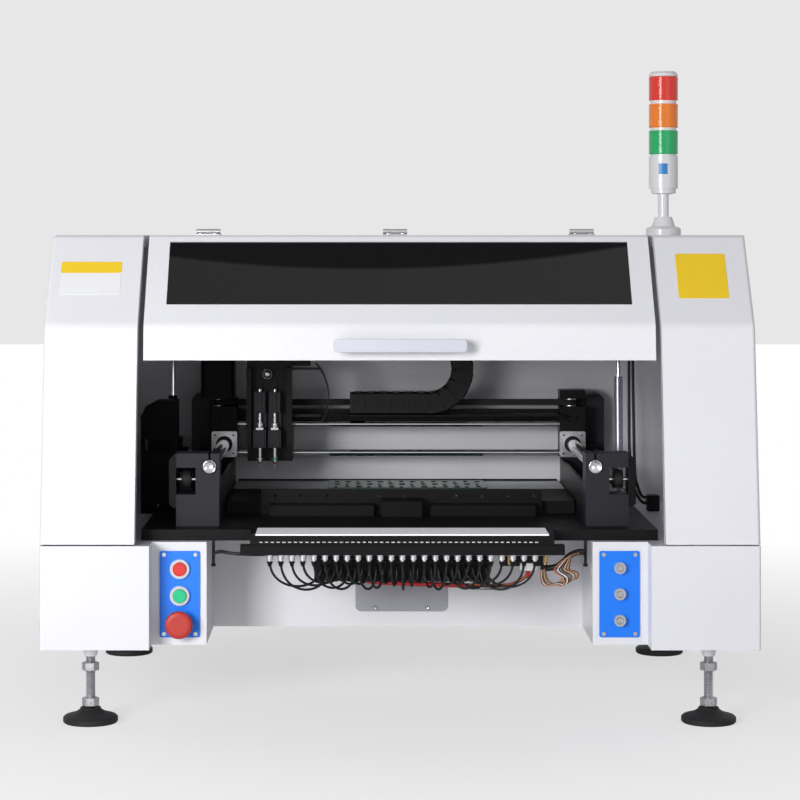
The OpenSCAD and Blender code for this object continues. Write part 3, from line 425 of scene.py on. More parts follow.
roundedCopy("base_housing", 0.0006, fold=0.0035, foldTest=outerFold("base_housing"))
roundedCopy("side_cover_left", 0.0006, fold=0.006, foldTest=coverFold("side_cover_left"))
roundedCopy("side_cover_right", 0.0006, fold=0.006, foldTest=coverFold("side_cover_right"))
roundedCopy("hood_shell", 0.0006, fold=0.005, foldTest=hoodFold)
for nodeName, edge in {
        "top_plate": 0.0006, "bed_plate": 0.0007, "shaft_blocks": 0.0008, "rail_walls": 0.0005,
        "y_motor": 0.0008, "board_platform": 0.0005, "feeder_blocks": 0.0008, "front_bar": 0.0007,
        "panel_plates": 0.0005, "hood_handle": 0.0025, "access_cover": 0.0005,
        "carriage_left": 0.0006, "carriage_right": 0.0006, "x_beam": 0.0005, "x_motor": 0.0008,
        "z_motor": 0.0008, "head_plate": 0.0006, "nozzle_left": 0.0006, "nozzle_right": 0.0006,
        "foot_nuts": 0.0007, "strut_brackets": 0.0005, "hinge_leaves": 0.0004,
        "hood_hinge_leaves": 0.0004}.items():
    roundedCopy(nodeName, edge)
print("edges rounded")

# ---------- modelling helpers

def slab(name, low, high, edge=0.0005, segments=2):
    letGo()
    size = [b - a for a, b in zip(low, high)]
    middle = [(a + b) / 2 for a, b in zip(low, high)]
    bpy.ops.mesh.primitive_cube_add(size=1, location=middle)
    piece = bpy.context.object
    piece.name = name
    piece.scale = size
    applyPlace(piece)
    if edge:
        applyModifier(piece, "BEVEL", width=edge, segments=segments)
    return piece


def turned(name, at, profile, sides=32, axis="Z"):
    # a turned part: one ring, drawn out and widened ring by ring, then laid along its axis
    letGo()
    bpy.ops.mesh.primitive_circle_add(vertices=sides, radius=profile[0][0],
                                      location=(0, 0, profile[0][1]), fill_type="NGON")
    piece = bpy.context.object
    piece.name = name
    applyPlace(piece)
    editing(piece)
    bpy.ops.mesh.select_all(action="SELECT")
    for (r0, z0), (r1, z1) in zip(profile, profile[1:]):
        bpy.ops.mesh.extrude_region_move(TRANSFORM_OT_translate={"value": (0, 0, z1 - z0)})
        if r1 != r0:
            bpy.ops.transform.resize(value=(r1 / r0, r1 / r0, 1), center_override=(0, 0, z1))
    bpy.ops.mesh.select_all(action="SELECT")
    bpy.ops.mesh.normals_make_consistent(inside=False)
    letGo()
    if axis == "Y":
        piece.rotation_euler = (math.radians(-90), 0, 0)
    if axis == "X":
        piece.rotation_euler = (0, math.radians(90), 0)
    piece.location = at
    applyPlace(piece)
    smooth(piece, 35)
    return piece


def copied(piece, shift):
    twin = piece.copy()
    twin.data = piece.data.copy()
    bpy.context.scene.collection.objects.link(twin)
    twin.location = shift
    applyPlace(twin)
    return twin


def rounded(points, steps=6):
    # a smooth line through a few route points
    line = []
    last = len(points) - 1
    for i in range(last):
        p = [points[max(i - 1, 0)], points[i], points[i + 1], points[min(i + 2, last)]]
        for k in range(steps):
            t = k / steps
            line.append([0.5 * (2 * b + (c - a) * t + (2 * a - 5 * b + 4 * c - d) * t * t
                                + (3 * b - a - 3 * c + d) * t ** 3)
                         for a, b, c, d in zip(*p)])
    line.append(list(points[-1]))
    return line


def softened(points, times=2):
    for turn in range(times):
        line = [points[0]]
        for a, b in zip(points, points[1:]):
            line.append([p * 0.75 + q * 0.25 for p, q in zip(a, b)])
            line.append([p * 0.25 + q * 0.75 for p, q in zip(a, b)])
        points = line + [points[-1]]
    return points


def cordAlong(name, points, radius, material, sides=3):
    curve = bpy.data.curves.new(name, "CURVE")
    curve.dimensions = "3D"
    spline = curve.splines.new("POLY")
    spline.points.add(len(points) - 1)
    for item, point in zip(spline.points, points):
        item.co = (*point, 1)
    curve.bevel_depth = radius
    curve.bevel_resolution = sides
    curve.use_fill_caps = True
    curve.materials.append(material)
    cord = bpy.data.objects.new(name, curve)
    bpy.context.scene.collection.objects.link(cord)
    return cord


def asMesh(obj):
    pick(obj)
    bpy.ops.object.convert(target="MESH")
    smooth(obj, 60)
    return obj


# ---------- tower lamp: a lens for each colour, and the bare badge on its body

lamp = {"x": 0.456, "y": 0.270, "bodyR": 0.0245, "lensR": 0.0248, "lensH": 0.040,
        "lenses": ((0.849, lensGreen, "lensLower"), (0.894, lensAmber, "lensMiddle"),
                   (0.940, lensRed, "lensUpper")),
        "badgeZ": (0.815, 0.833), "badgeHalf": 0.30, "ribPitch": 0.0033}


def towerLamp():
    for z, material, name in lamp["lenses"]:
        r = lamp["lensR"]
        profile = [(r - 0.0012, 0), (r - 0.0003, 0.0008)]
        ribs = int((lamp["lensH"] - 0.002) / lamp["ribPitch"])
        for i in range(ribs):
            base = 0.001 + i * lamp["ribPitch"]
            profile += [(r - 0.0005, base), (r, base + lamp["ribPitch"] * 0.5)]
        profile += [(r - 0.0003, lamp["lensH"] - 0.0008), (r - 0.0012, lamp["lensH"])]
        lens = turned(name, (lamp["x"], lamp["y"], z), profile, 56)
        finished(lens, material, "root")
    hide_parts("tower_lenses")
    letGo()
    low, high = lamp["badgeZ"]
    bpy.ops.mesh.primitive_grid_add(x_subdivisions=12, y_subdivisions=4, size=1)
    badge = bpy.context.object
    badge.name = "lampBadge"
    for vertex in badge.data.vertices:
        angle = math.radians(-98) + vertex.co.x * 2 * lamp["badgeHalf"]
        r = lamp["bodyR"] + 0.0002
        vertex.co = (lamp["x"] + r * math.cos(angle), lamp["y"] + r * math.sin(angle),
                     low + (vertex.co.y + 0.5) * (high - low))
    applyModifier(badge, "SOLIDIFY", thickness=0.0004, offset=1)
    smooth(badge, 30)
    finished(badge, plateBlue, "root")


towerLamp()


# ---------- bare plates on the sloping covers

plates = {
    "slopeFoot": (-0.300, 0.580), "slopeHead": (-0.200, 0.712),
    "leftWhite": (-0.502, -0.412, 0.624, 0.655), "leftYellow": (-0.502, -0.412, 0.656, 0.672),
    "rightYellow": (0.412, 0.486, 0.619, 0.684), "thick": 0.0005, "corner": 0.003,
}


def slopePlate(name, spot, material):
    (y0, z0), (y1, z1) = plates["slopeFoot"], plates["slopeHead"]
    run = Vector((0, y1 - y0, z1 - z0)).normalized()
    left, right, low, high = spot
    tall = (high - low) / run.z
    letGo()
    bpy.ops.mesh.primitive_cube_add(size=1)
    piece = bpy.context.object
    piece.name = name
    piece.scale = (right - left, plates["thick"], tall)
    applyPlace(piece)
    editing(piece)
    letGo()
    mesh = piece.data
    for item in mesh.edges:
        a, b = (mesh.vertices[i].co for i in item.vertices)
        item.select = abs(a.x - b.x) < 0.0001 and abs(a.z - b.z) < 0.0001
    bpy.ops.object.select_all(action="DESELECT")
    pick(piece)
    bpy.ops.object.mode_set(mode="EDIT")
    bpy.ops.mesh.select_mode(type="EDGE")
    bpy.ops.mesh.bevel(offset=plates["corner"], segments=5, affect="EDGES")
    letGo()
    middleZ = (low + high) / 2
    middleY = y0 + (middleZ - z0) / (z1 - z0) * (y1 - y0)
    piece.rotation_euler = (-math.atan2(run.y, run.z), 0, 0)
    out = Vector((0, -run.z, run.y)) * (plates["thick"] / 2 + 0.0001)
    piece.location = ((left + right) / 2, middleY + out.y, middleZ + out.z)
    applyPlace(piece)
    smooth(piece, 30)
    return finished(piece, material, "root")


slopePlate("plateLeftLower", plates["leftWhite"], plateWhite)
slopePlate("plateLeftUpper", plates["leftYellow"], plateYellow)
slopePlate("plateRight", plates["rightYellow"], plateYellow)
print("lamp and plates")

# ---------- platform: light behind, black in front, and the long circuit board on it

board = {"low": (-0.110, 0.100, 0.3002), "high": (0.148, 0.222, 0.3018), "split": 0.099}


def platform():
    piece = next(o for o in bpy.data.objects if o.name == "BoardPlatformRounded")
    editing(piece)
    bpy.ops.mesh.select_all(action="SELECT")
    bpy.ops.mesh.bisect(plane_co=(0, board["split"], 0), plane_no=(0, 1, 0))
    letGo()
    piece.data.materials.append(blackAnodised)
    for face in piece.data.polygons:
        face.material_index = 1 if face.center.y < board["split"] else 0
    slat = slab("circuitBoard", board["low"], board["high"], 0.0002)
    finished(slat, boardGreen, "root")
    # a thin black strip along the foot of the rear wall is painted shade in the gap there, joined
    # with the board's chips
    chipsAndGapShade = [slab("wallSeal", (-0.262, 0.2262, 0.3002), (0.272, 0.2284, 0.3032), 0.0003)]
    for i in range(42):
        x = board["low"][0] + 0.010 + (i % 14) * 0.0178
        y = 0.108 + (i // 14) * 0.038 + 0.004 * (i * 5 % 3)
        chipsAndGapShade.append(slab("chip", (x, y, board["high"][2]),
                          (x + 0.005 + 0.002 * (i % 3), y + 0.004 + 0.003 * (i * 7 % 3),
                           board["high"][2] + 0.001), 0.0002))
    finished(joined(chipsAndGapShade, "boardChips"), blackPlastic, "root")


platform()


# ---------- feeder leads, loom and cables

leads = {"count": 25, "pitch": 0.016, "middle": 0.0035, "y": -0.332, "top": 0.240,
         "endPitch": 0.00992, "endMiddle": 0.006, "endY": -0.300, "endZ": 0.230,
         "radius": 0.0018, "steps": 20, "lastStep": 17}


def leadRoute(i):
    half = (leads["count"] - 1) / 2
    a = leads["middle"] + (i - half) * leads["pitch"]
    b = leads["endMiddle"] + (i - half) * leads["endPitch"]
    sag = 0.033 + 0.005 * math.sin(math.radians(i * 97))
    points = []
    for k in range(leads["lastStep"] + 1):
        u = k / leads["steps"]
        ease = u * u * (3 - 2 * u)
        points.append((a + (b - a) * ease,
                       leads["y"] + (leads["endY"] - 0.007 - leads["y"]) * ease,
                       leads["top"] - (leads["top"] - leads["endZ"]) * u - 4 * sag * u * (1 - u)))
    # an easy bend into the connector
    start, turn = points[-1], (b, leads["endY"] - 0.0075, leads["endZ"] - 0.0015)
    last = (b, leads["endY"], leads["endZ"] + 0.0005)
    for k in range(1, 9):
        t = k / 8
        points.append(tuple((1 - t) ** 2 * p + 2 * t * (1 - t) * q + t * t * r
                            for p, q, r in zip(start, turn, last)))
    return points


def feederLeads():
    boots = []
    for i in range(leads["count"]):
        route = leadRoute(i)
        lead = cordAlong(f"feederLead{i + 1}", route, leads["radius"], cableBlack)
        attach(lead, "root")
        boots.append(turned("boot", (route[0][0], route[0][1], leads["top"] - 0.0075),
                            [(0.0022, 0), (0.0026, 0.0005), (0.0034, 0.004), (0.0044, 0.0062),
                             (0.0045, 0.0074)], 16))
    finished(joined(boots, "leadBoots"), blackPlastic, "root")


cables = {
    "loom": [(-60, -292, 222), (-60, -288.5, 221), (-57, -285.5, 212), (-45, -285.5, 204.5),
             (-15, -286, 202), (30, -287, 200.5), (80, -288, 199), (130, -289, 197.5),
             (160, -290.5, 199), (178, -292, 206), (187, -294, 214), (188, -296, 221)],
    "leftPeg": [(-273, -289, 246), (-262, -294, 249), (-250, -300, 248), (-235, -303, 247),
                (-205, -304, 246), (-175, -303, 247), (-150, -299, 248), (-137, -294.6, 248),
                (-125, -293, 248)],
    "rightPeg": [(270, -293, 248), (262, -294, 248.5), (250, -295, 244), (240, -296, 235),
                 (231, -296, 228), (220, -293.5, 225), (206, -293, 225)],
    "hoodInner": [(379.2, 229, 686), (379.2, 205, 685), (379.2, 170, 680), (379.2, 140, 668),
                  (379.2, 112, 648), (379.2, 102, 600), (379.2, 102, 540), (379.2, 102, 480),
                  (379.2, 101, 420), (380, 100, 360), (384, 98, 315), (391, 98, 293),
                  (397, 98, 282), (402.5, 98, 277.2), (408, 98, 276.6)],
    "hoodOuter": [(388, 229, 686), (388, 206, 685), (387, 172, 680), (386, 143, 668),
                  (386, 115, 648), (386, 105, 600), (386, 106, 540), (386, 106, 480),
                  (387, 105, 420), (388, 104, 360), (390, 106, 318), (394, 107, 303),
                  (398, 107, 292), (402.4, 107, 286.4), (408, 107, 285.4)],
    "radius": {"loom": 0.0035, "leftPeg": 0.0025, "rightPeg": 0.0045, "hoodInner": 0.0025,
               "hoodOuter": 0.0025},
}


def metres(points):
    return [tuple(c / 1000 for c in p) for p in points]


def strandsRound(name, route, offsets, radius, colours):
    strands = []
    for i, (dx, dy, dz) in enumerate(offsets):
        line = [(x + dx, y + dy, z + dz) for x, y, z in route]
        strands.append(asMesh(cordAlong(name + "Strand", line, radius, colours[i % len(colours)],
                                        2)))
    return joined(strands, name)


def harness():
    wires = (wireOrange, cableBlack, wireWhite, cableBlack, wireBrown, cableBlack, wireCream,
             cableBlack)
    made = {}
    for name in ("loom", "leftPeg", "rightPeg", "hoodInner", "hoodOuter"):
        route = rounded(metres(cables[name]), 5)
        radius = cables["radius"][name]
        cable = cordAlong(name + "Cable", route, radius, loomRed if name == "loom" else cableBlack)
        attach(cable, "root")
        made[name] = (cable, route, radius)
    # coloured wires beside the loom's right half, and the ribbon that drops from the right peg
    loomRoute = made["loom"][1]
    right = [p for p in loomRoute if p[0] > 0.10][:-6]
    offsets = [(0, 0.0042 * math.cos(a), 0.0042 * math.sin(a)) for a in
               [math.radians(150 + 30 * i) for i in range(8)]]
    loomWires = strandsRound("loomWires", right, offsets, 0.0008, wires)
    finished(loomWires, None, "root")
    fan = []
    count = 10
    for i in range(count):
        t = i / (count - 1)
        line = softened([(0.262, -0.2985, 0.2475 - 0.001 * t), (0.250, -0.301, 0.245 - 0.002 * t),
                        (0.236 + 0.014 * t, -0.303, 0.236), (0.226 + 0.020 * t, -0.305, 0.225),
                        (0.224 + 0.026 * t, -0.309, 0.2215 + 0.002 * t),
                        (0.240 + 0.021 * t, -0.314, 0.212 + 0.010 * t),
                        (0.238 + 0.020 * t, -0.316, 0.2005 + 0.010 * t),
                        (0.226 + 0.012 * t, -0.312, 0.203 + 0.010 * t),
                        (0.212 + 0.012 * t, -0.308, 0.199 + 0.003 * t),
                        (0.205 + 0.010 * t, -0.303, 0.206 + 0.004 * t),
                        (0.206 + 0.007 * t, -0.298, 0.222 + 0.002 * t)], 3)
        fan.append(asMesh(cordAlong("ribbonStrand", line, 0.00085, wires[i % len(wires)], 2)))
    ribbon = joined(fan, "ribbonWires")
    finished(ribbon, None, "root")
    tie = turned("cableTie", (0.3826, 0.1045, 0.5160), [(0.0072, 0), (0.0074, 0.0003),
                                                        (0.0074, 0.0027), (0.0072, 0.003)], 24)
    finished(tie, blackPlastic, "root")
    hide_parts("wiring")


feederLeads()
harness()
print("leads and cables")

# ---------- connector strip, small board and white plug under the bed

strip = {"low": (-0.125, -0.294, 0.206), "high": (0.131, -0.292, 0.264), "pitch": 0.00992,
         "middle": 0.006, "count": 25,
         "board": ((0.150, -0.296, 0.228), (0.216, -0.2925, 0.243)),
         "plug": ((0.176, -0.302, 0.222), (0.200, -0.2955, 0.233))}


def connectorStrip():
    parts = [slab("stripBoard", strip["low"], strip["high"], 0.0003)]
    shell = slab("plugShell", (-0.004, -0.304, 0.222), (0.004, -0.294, 0.238), 0)
    editing(shell)
    chooseFaces(shell, lambda middle, normal: normal.y < -0.9)
    bpy.ops.mesh.inset(thickness=0.0014)
    bpy.ops.mesh.extrude_region_move(TRANSFORM_OT_translate={"value": (0, 0.004, 0)})
    letGo()
    applyModifier(shell, "BEVEL", width=0.0003, segments=1)
    foot = slab("plugFoot", (-0.003, -0.302, 0.206), (0.003, -0.294, 0.2205), 0.0004, 1)
    rib = slab("plugRib", (-0.0016, -0.3027, 0.208), (0.0016, -0.3018, 0.219), 0.0002, 1)
    unit = joined([shell, foot, rib], "plugUnit")
    first = strip["middle"] - (strip["count"] - 1) / 2 * strip["pitch"]
    spots = [(first + i * strip["pitch"], 0, 0) for i in range(strip["count"])]
    parts += [copied(unit, spot) for spot in spots]
    bpy.data.objects.remove(unit)
    # saddle for the hood cables, and the two pegs
    parts.append(slab("saddle", (0.408, 0.090, 0.264), (0.428, 0.114, 0.290), 0.002, 3))
    for side in (-1, 1):
        parts.append(turned("peg", (side * 0.273, -0.2835, 0.226),
                            [(0.0026, 0), (0.0036, 0.0008), (0.0036, 0.0036), (0.0022, 0.0046),
                             (0.0022, 0.038)], 20))
    parts.append(slab("smallBoard", strip["board"][0], strip["board"][1], 0.0003))
    piece = joined(parts, "connectorStrip")
    finished(piece, blackPlastic, "root", ("cable_fittings",))
    plug = slab("whitePlug", strip["plug"][0], strip["plug"][1], 0.0006)
    editing(plug)
    chooseFaces(plug, lambda middle, normal: normal.z < -0.9)
    bpy.ops.mesh.inset(thickness=0.0012)
    bpy.ops.mesh.extrude_region_move(TRANSFORM_OT_translate={"value": (0, 0, 0.005)})
    letGo()
    finished(plug, whiteNylon, "root")
    posts = []
    for x in (0.159, 0.211):
        posts.append(turned("post", (x, -0.316, 0.236), [(0.0024, 0), (0.0029, 0.0006),
                                                         (0.0029, 0.0275), (0.0026, 0.028)], 6))
        posts.append(turned("postHead", (x, -0.316, 0.2325), [(0.0012, 0), (0.002, 0.0008),
                                                              (0.002, 0.0036)], 16))
    finished(joined(posts, "brassPosts"), brass, "root")


connectorStrip()
print("connectors")

# ---------- comb of the tape guide, and the screws of the access cover

def comb():
    low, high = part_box("tape_guides")
    for other in bpy.data.objects:
        if other.name in ("tape_guides", "TapeGuidesRounded"):
            other.data.materials.append(blackAnodised)
            for face in other.data.polygons:
                if face.center.z < 0.2712:
                    face.material_index = 1
    pitch = 0.0083
    count = int((high[0] - low[0] - 0.012) / pitch)
    bead = slab("bead", (-0.0024, -0.0004, -0.0007), (0.0024, 0.0006, 0.0007), 0.0005, 2)
    beads = [copied(bead, (low[0] + 0.008 + i * pitch, low[1], 0.2686)) for i in range(count)]
    bpy.data.objects.remove(bead)
    finished(joined(beads, "combTips"), whiteNylon, "root")
    low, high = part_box("access_cover")
    screws = []
    for share in (0.21, 0.78):
        x = low[0] + share * (high[0] - low[0])
        screws.append(turned("coverScrew", (x, low[1] - 0.0012, low[2] + 0.006),
                             [(0.0006, 0.0006), (0.0012, 0.0001), (0.0022, 0), (0.0027, 0.0006),
                              (0.0029, 0.0012)], 20, "Y"))
    finished(joined(screws, "coverScrews"), zinc, "root")


comb()

# ---------- cable chain

chain = {"fixX": -0.071, "pitch": 0.0208, "lower": 6, "bend": 8, "upper": 10, "radius": 0.055,
         "tall": 0.035, "front": 0.098, "back": 0.138, "low": 0.421}


def chainLink(step):
    # outer plates, the nose that laps into the next link, and the snap-in bars
    half = chain["pitch"] / 2
    tall = chain["tall"] / 2
    parts = []
    for y, nose in ((chain["front"], 1), (chain["back"] - 0.004, -1)):
        plate = slab("linkPlate", (-half + 0.0004, y, -tall + 0.002),
                     (half - 0.0008, y + 0.004, tall - 0.002), 0)
        editing(plate)
        chooseFaces(plate, lambda middle, normal: abs(normal.z) > 0.9)
        bpy.ops.mesh.inset(thickness=0.0026)
        bpy.ops.mesh.extrude_region_move(TRANSFORM_OT_translate={"value": (0, 0, 0)})
        letGo()
        mesh = plate.data
        for vertex in mesh.vertices:
            if abs(abs(vertex.co.x) - half) > 0.0015 and abs(vertex.co.z) > tall - 0.0025:
                vertex.co.z = math.copysign(tall, vertex.co.z)
        applyModifier(plate, "BEVEL", width=0.0006, segments=2, limit_method="ANGLE")
        parts.append(plate)
        face = y - 0.0006 if nose > 0 else y + 0.0036
        parts.append(turned("linkPin", (-half + 0.0055, face, 0),
                            [(0.0052, 0), (0.0056, 0.0003), (0.0056, 0.001)], 20, "Y"))
        inset = y + 0.0006 + 0.0006 * step
        parts.append(slab("linkLap", (-half * 1.36, inset, -tall + 0.0012),
                          (half * 1.36, inset + 0.0024, tall - 0.0006), 0.0016, 3))
    for z in (-tall + 0.0008, tall - 0.0042):
        parts.append(slab("linkBar", (-0.0055, chain["front"] + 0.0006, z),
                          (0.0035, chain["back"] - 0.0006, z + 0.0034), 0.0008))
    return joined(parts, "chainLink")


def placedLink(link, angle, at):
    twin = link.copy()
    twin.data = link.data.copy()
    bpy.context.scene.collection.objects.link(twin)
    twin.rotation_euler = (0, angle, 0)
    twin.location = at
    applyPlace(twin)
    return twin


def cableChain():
    kinds = [chainLink(0), chainLink(1)]
    bendX = chain["fixX"] + chain["lower"] * chain["pitch"]
    lowZ = chain["low"] + chain["tall"] / 2
    bendZ = lowZ + chain["radius"]
    highZ = bendZ + chain["radius"]
    lower = joined([placedLink(kinds[i % 2], 0, (chain["fixX"] + (i + 0.5) * chain["pitch"], 0,
                                                 lowZ))
                    for i in range(chain["lower"])], "chainLowerRun")
    lower.data.materials.clear()
    lower.data.materials.append(blackPlastic)
    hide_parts("chain_lower_run")
    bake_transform(lower)
    bend = []
    for i in range(chain["bend"]):
        turn = math.pi * (i + 0.5) / chain["bend"]
        bend.append(placedLink(kinds[i % 2], -turn, (bendX + chain["radius"] * math.sin(turn), 0,
                                             bendZ - chain["radius"] * math.cos(turn))))
    finished(joined(bend, "chainBend"), blackPlastic, "chain_bend",
             ("chain_bend",))
    upper = joined([placedLink(kinds[i % 2], math.pi, (bendX - (i + 0.5) * chain["pitch"], 0,
                                                       highZ))
                    for i in range(chain["upper"])], "chainUpperRun")
    finished(upper, blackPlastic, "chain_bend", ("chain_upper_run",))
    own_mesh(upper)
    for kind in kinds:
        bpy.data.objects.remove(kind)


cableChain()
print("cable chain")

# ---------- bearings, shaft ends, head fittings and other bright metal

bearing = {"x": (-0.2813, 0.2913), "z": 0.3685}


def bearings():
    # the seal sits in the recess round the shaft, and each screw head has a dark socket
    low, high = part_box("y_bearings")
    piece = nodes["y_bearings"]
    for other in bpy.data.objects:
        if other.name == "YBearingsRounded":
            piece = other
    piece.data.materials.append(blackPlastic)
    for face in piece.data.polygons:
        if abs(face.normal.y) > 0.9:
            if abs(face.center.y - (low[1] + 0.0045)) < 0.0004:
                face.material_index = 1
            if abs(face.center.y - (low[1] + 0.0015)) < 0.0003:
                face.material_index = 1


def shaftEnds():
    ends = []
    for x in bearing["x"]:
        end = turned("shaftEnd", (x, -0.24755, bearing["z"]),
                     [(0.0080, 0), (0.0090, 0.0002), (0.0097, 0.0006), (0.0100, 0.0012),
                      (0.0100, 0.003)], 48, "Y")
        editing(end)
        chooseFaces(end, lambda middle, normal: normal.y < -0.95)
        for i in range(5):
            bpy.ops.mesh.inset(thickness=0.0013, depth=-0.00012 if i % 2 else 0.00012)
        letGo()
        ends.append(end)
    finished(joined(ends, "shaftEnds"), polished, "root")


head = {"nozzles": ((-0.2196, "nozzle_left"), (-0.1956, "nozzle_right")), "y": 0.066}


def headFittings():
    for x, body in head["nozzles"]:
        clampRing = turned("clampRing", (x, head["y"], 0.4042),
                           [(0.0052, 0), (0.0058, 0.0006), (0.0058, 0.005), (0.0050, 0.0056)], 24)
        grip = slab("nozzleClip", (x - 0.0062, 0.0545, 0.3985), (x + 0.0062, 0.0590, 0.4030),
                    0.0007)
        finished(joined([clampRing, grip], body + "Clip"), brightSteel, body)
        rail = slab("nozzleRail", (x - 0.0035, 0.0548, 0.4270), (x + 0.0035, 0.0568, 0.4590),
                    0.0004)
        cap = slab("nozzleCap", (x - 0.0078, 0.0545, 0.3715), (x + 0.0078, 0.0558, 0.3960),
                   0.0005)
        finished(joined([rail, cap], body + "Trim"), charcoal, body)
    low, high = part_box("z_pulley")
    middle = ((low[0] + high[0]) / 2, low[1], (low[2] + high[2]) / 2)
    ring = turned("pulleyRing", (middle[0], middle[1] - 0.0005, middle[2]),
                  [(0.0064, 0), (0.0072, 0.0002), (0.0072, 0.0005)], 40, "Y")
    finished(ring, blackAnodised, "z_pulley")
    cap = turned("pulleyCap", (middle[0], middle[1] - 0.0015, middle[2]),
                 [(0.0012, 0.0006), (0.0016, 0), (0.0034, 0.0001), (0.0038, 0.0004),
                  (0.0038, 0.001)], 32, "Y")
    finished(cap, brightSteel, "z_pulley")


bearings()
shaftEnds()
headFittings()


# ---------- threaded levelling studs under white bosses

stud = {"x": 0.452, "y": 0.295, "r": 0.0070, "root": 0.0062, "pitch": 0.0022, "low": 0.022,
        "high": 0.100}


def studs():
    profile = [(stud["root"], stud["low"])]
    turns = int((stud["high"] - stud["low"]) / stud["pitch"])
    for i in range(turns):
        z = stud["low"] + i * stud["pitch"]
        profile += [(stud["r"], z + stud["pitch"] * 0.5), (stud["root"], z + stud["pitch"])]
    profile[-1] = (stud["root"], stud["high"])
    rods, bosses = [], []
    for x in (-stud["x"], stud["x"]):
        for y in (-stud["y"], stud["y"]):
            rods.append(turned("rod", (x, y, 0), profile, 24))
            bosses.append(turned("boss", (x, y, 0), [(0.0085, 0.097), (0.0092, 0.0975),
                                                     (0.0130, 0.1138)], 32))
    finished(joined(rods, "threadedStuds"), zinc, "root", ("foot_studs",))
    finished(joined(bosses, "studBosses"), whitePaint, "root")


studs()

# finishes that change within one solid; the two strut cylinders are the same part, kept black on
# the left as painted shade and painted grey on the right as lit
for nodeName, test, material in (
        ("spindle_right", lambda c: 0.3505 < c.z < 0.3535, padGreen),
        # the right strut cylinder is painted as lit, the left stays black as painted shade
        ("strut_cylinders", lambda c: c.x > 0, strutLitGrey)):
    mesh = nodes[nodeName].data
    mesh.materials.append(material)
    for face in mesh.polygons:
        if test(face.center):
            face.material_index = 1
print("metal fittings")

# ---------- stage, camera and light

studio = {
    "camera": (-0.055, -3.85, 0.712), "lens": 109.35, "shift": (0.0475, -0.206),
    "keyAt": (-1.7, -3.3, 1.02), "keySize": 1.1, "keyPower": 90,
    "fillAt": (2.3, -3.4, 1.2), "fillSize": 2.0, "fillPower": 14,
    "target": (0, 0, 0.42), "ambient": 0.26,
}


def areaLamp(name, place, size, power):
    lamp = bpy.data.lights.new(name, "AREA")
    lamp.size = size
    lamp.energy = power
    obj = bpy.data.objects.new(name, lamp)
    obj.location = place
    aim = Vector(studio["target"]) - Vector(place)
    obj.rotation_euler = aim.to_track_quat("-Z", "Y").to_euler()
    bpy.context.scene.collection.objects.link(obj)
    return obj


def makeStudio():
    scene = bpy.context.scene
    scene.view_settings.view_transform = "Standard"
    eye = bpy.data.cameras.new("studioCamera")
    eye.lens = studio["lens"]
    eye.sensor_width = 36
    eye.shift_x, eye.shift_y = studio["shift"]
    eye.clip_end = 100
    camera = bpy.data.objects.new("studioCamera", eye)
    camera.location = studio["camera"]
    camera.rotation_euler = (math.radians(90), 0, 0)
    scene.collection.objects.link(camera)
    scene.camera = camera
    areaLamp("keyLamp", studio["keyAt"], studio["keySize"], studio["keyPower"])
    areaLamp("fillLamp", studio["fillAt"], studio["fillSize"], studio["fillPower"])


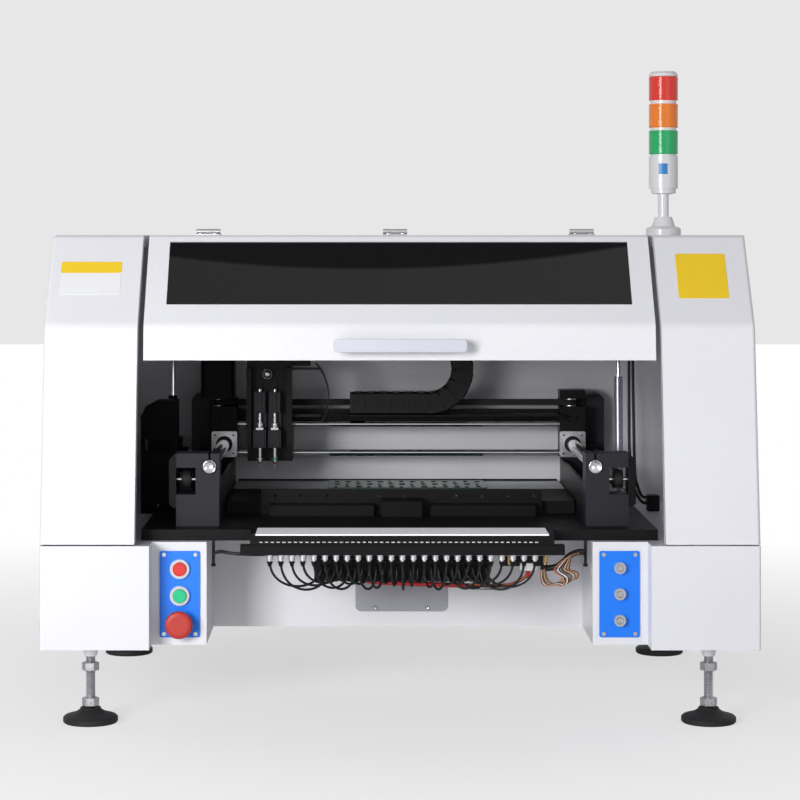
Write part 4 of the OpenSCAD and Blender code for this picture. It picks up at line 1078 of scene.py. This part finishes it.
def makeWorld():
    world = bpy.data.worlds.new("studioWorld")
    bpy.context.scene.world = world
    world.use_nodes = True
    tree = world.node_tree
    back = tree.nodes["Background"]
    back.inputs["Color"].default_value = (0.93, 0.95, 1.0, 1)
    back.inputs["Strength"].default_value = studio["ambient"]
    white = tree.nodes.new("ShaderNodeBackground")
    rays = tree.nodes.new("ShaderNodeLightPath")

    def maths(kind, a, b, clamp=False):
        node = tree.nodes.new("ShaderNodeMath")
        node.operation = kind
        node.use_clamp = clamp
        for socket, value in zip(node.inputs, (a, b)):
            if isinstance(value, (int, float)):
                socket.default_value = value
            else:
                link(tree, value, socket)
        return node.outputs["Value"]

    # the ceiling over the machine is dim, with a bowed edge that the window mirrors
    coords = tree.nodes.new("ShaderNodeTexCoord")
    split = tree.nodes.new("ShaderNodeSeparateXYZ")
    link(tree, coords.outputs["Generated"], split.inputs["Vector"])
    x, y, z = (split.outputs[axis] for axis in "XYZ")
    bow = maths("MULTIPLY", maths("MULTIPLY", x, x), 0.91)
    past = maths("SUBTRACT", maths("ADD", bow, -0.2752), y)
    below = maths("MULTIPLY", past, 1500.0, True)
    line = maths("MULTIPLY", maths("LESS_THAN", maths("ABSOLUTE", past, 0), 0.0006), 0.35)
    rise = maths("ADD", maths("MULTIPLY", x, 0.9), 0.60)
    across, up = maths("ADD", x, 0.0898), maths("ADD", y, 0.2767)
    away = maths("ADD", maths("MULTIPLY", across, across), maths("MULTIPLY", up, up))
    spot = maths("MULTIPLY", maths("SUBTRACT", 0.000072, away), 24000.0, True)
    level = maths("ADD", maths("ADD", maths("MULTIPLY", below, rise), 0.12), line)
    level = maths("ADD", level, maths("MULTIPLY", spot, 0.3))
    overhead = maths("GREATER_THAN", z, 0.93)
    ceiling = maths("MULTIPLY", overhead, maths("SUBTRACT", 1.0, level))
    bright = maths("MULTIPLY", maths("SUBTRACT", 1.0, ceiling), 0.9)
    glossy = tree.nodes.new("ShaderNodeBackground")
    link(tree, bright, glossy.inputs["Strength"])
    mixGloss = tree.nodes.new("ShaderNodeMixShader")
    link(tree, rays.outputs["Is Glossy Ray"], mixGloss.inputs["Fac"])
    link(tree, back.outputs["Background"], mixGloss.inputs[1])
    link(tree, glossy.outputs["Background"], mixGloss.inputs[2])
    mix = tree.nodes.new("ShaderNodeMixShader")
    link(tree, rays.outputs["Is Camera Ray"], mix.inputs["Fac"])
    link(tree, mixGloss.outputs["Shader"], mix.inputs[1])
    link(tree, white.outputs["Background"], mix.inputs[2])
    link(tree, mix.outputs["Shader"], tree.nodes["World Output"].inputs["Surface"])


def makeFloor():
    letGo()
    bpy.ops.mesh.primitive_plane_add(size=24, location=(0, 0, 0))
    floor = bpy.context.object
    floor.name = "studioFloor"
    material = bpy.data.materials.new("floorPaper")
    material.use_nodes = True
    tree = material.node_tree
    shader = tree.nodes["Principled BSDF"]
    shader.inputs["Base Color"].default_value = (0.93, 0.93, 0.93, 1)
    shader.inputs["Roughness"].default_value = 0.8
    glow = tree.nodes.new("ShaderNodeEmission")
    coords = tree.nodes.new("ShaderNodeTexCoord")
    length = tree.nodes.new("ShaderNodeVectorMath")
    length.operation = "LENGTH"
    link(tree, coords.outputs["Object"], length.inputs[0])
    far = ranged(tree, length.outputs["Value"], 0.55, 1.0, 0.5, 2.0)
    rays = tree.nodes.new("ShaderNodeLightPath")
    both = tree.nodes.new("ShaderNodeMath")
    both.operation = "MULTIPLY"
    link(tree, far, both.inputs[0])
    link(tree, rays.outputs["Is Camera Ray"], both.inputs[1])
    mix = tree.nodes.new("ShaderNodeMixShader")
    link(tree, both.outputs["Value"], mix.inputs["Fac"])
    link(tree, shader.outputs["BSDF"], mix.inputs[1])
    link(tree, glow.outputs["Emission"], mix.inputs[2])
    link(tree, mix.outputs["Shader"], tree.nodes["Material Output"].inputs["Surface"])
    floor.data.materials.append(material)


makeStudio()
makeWorld()
makeFloor()
print("studio set")
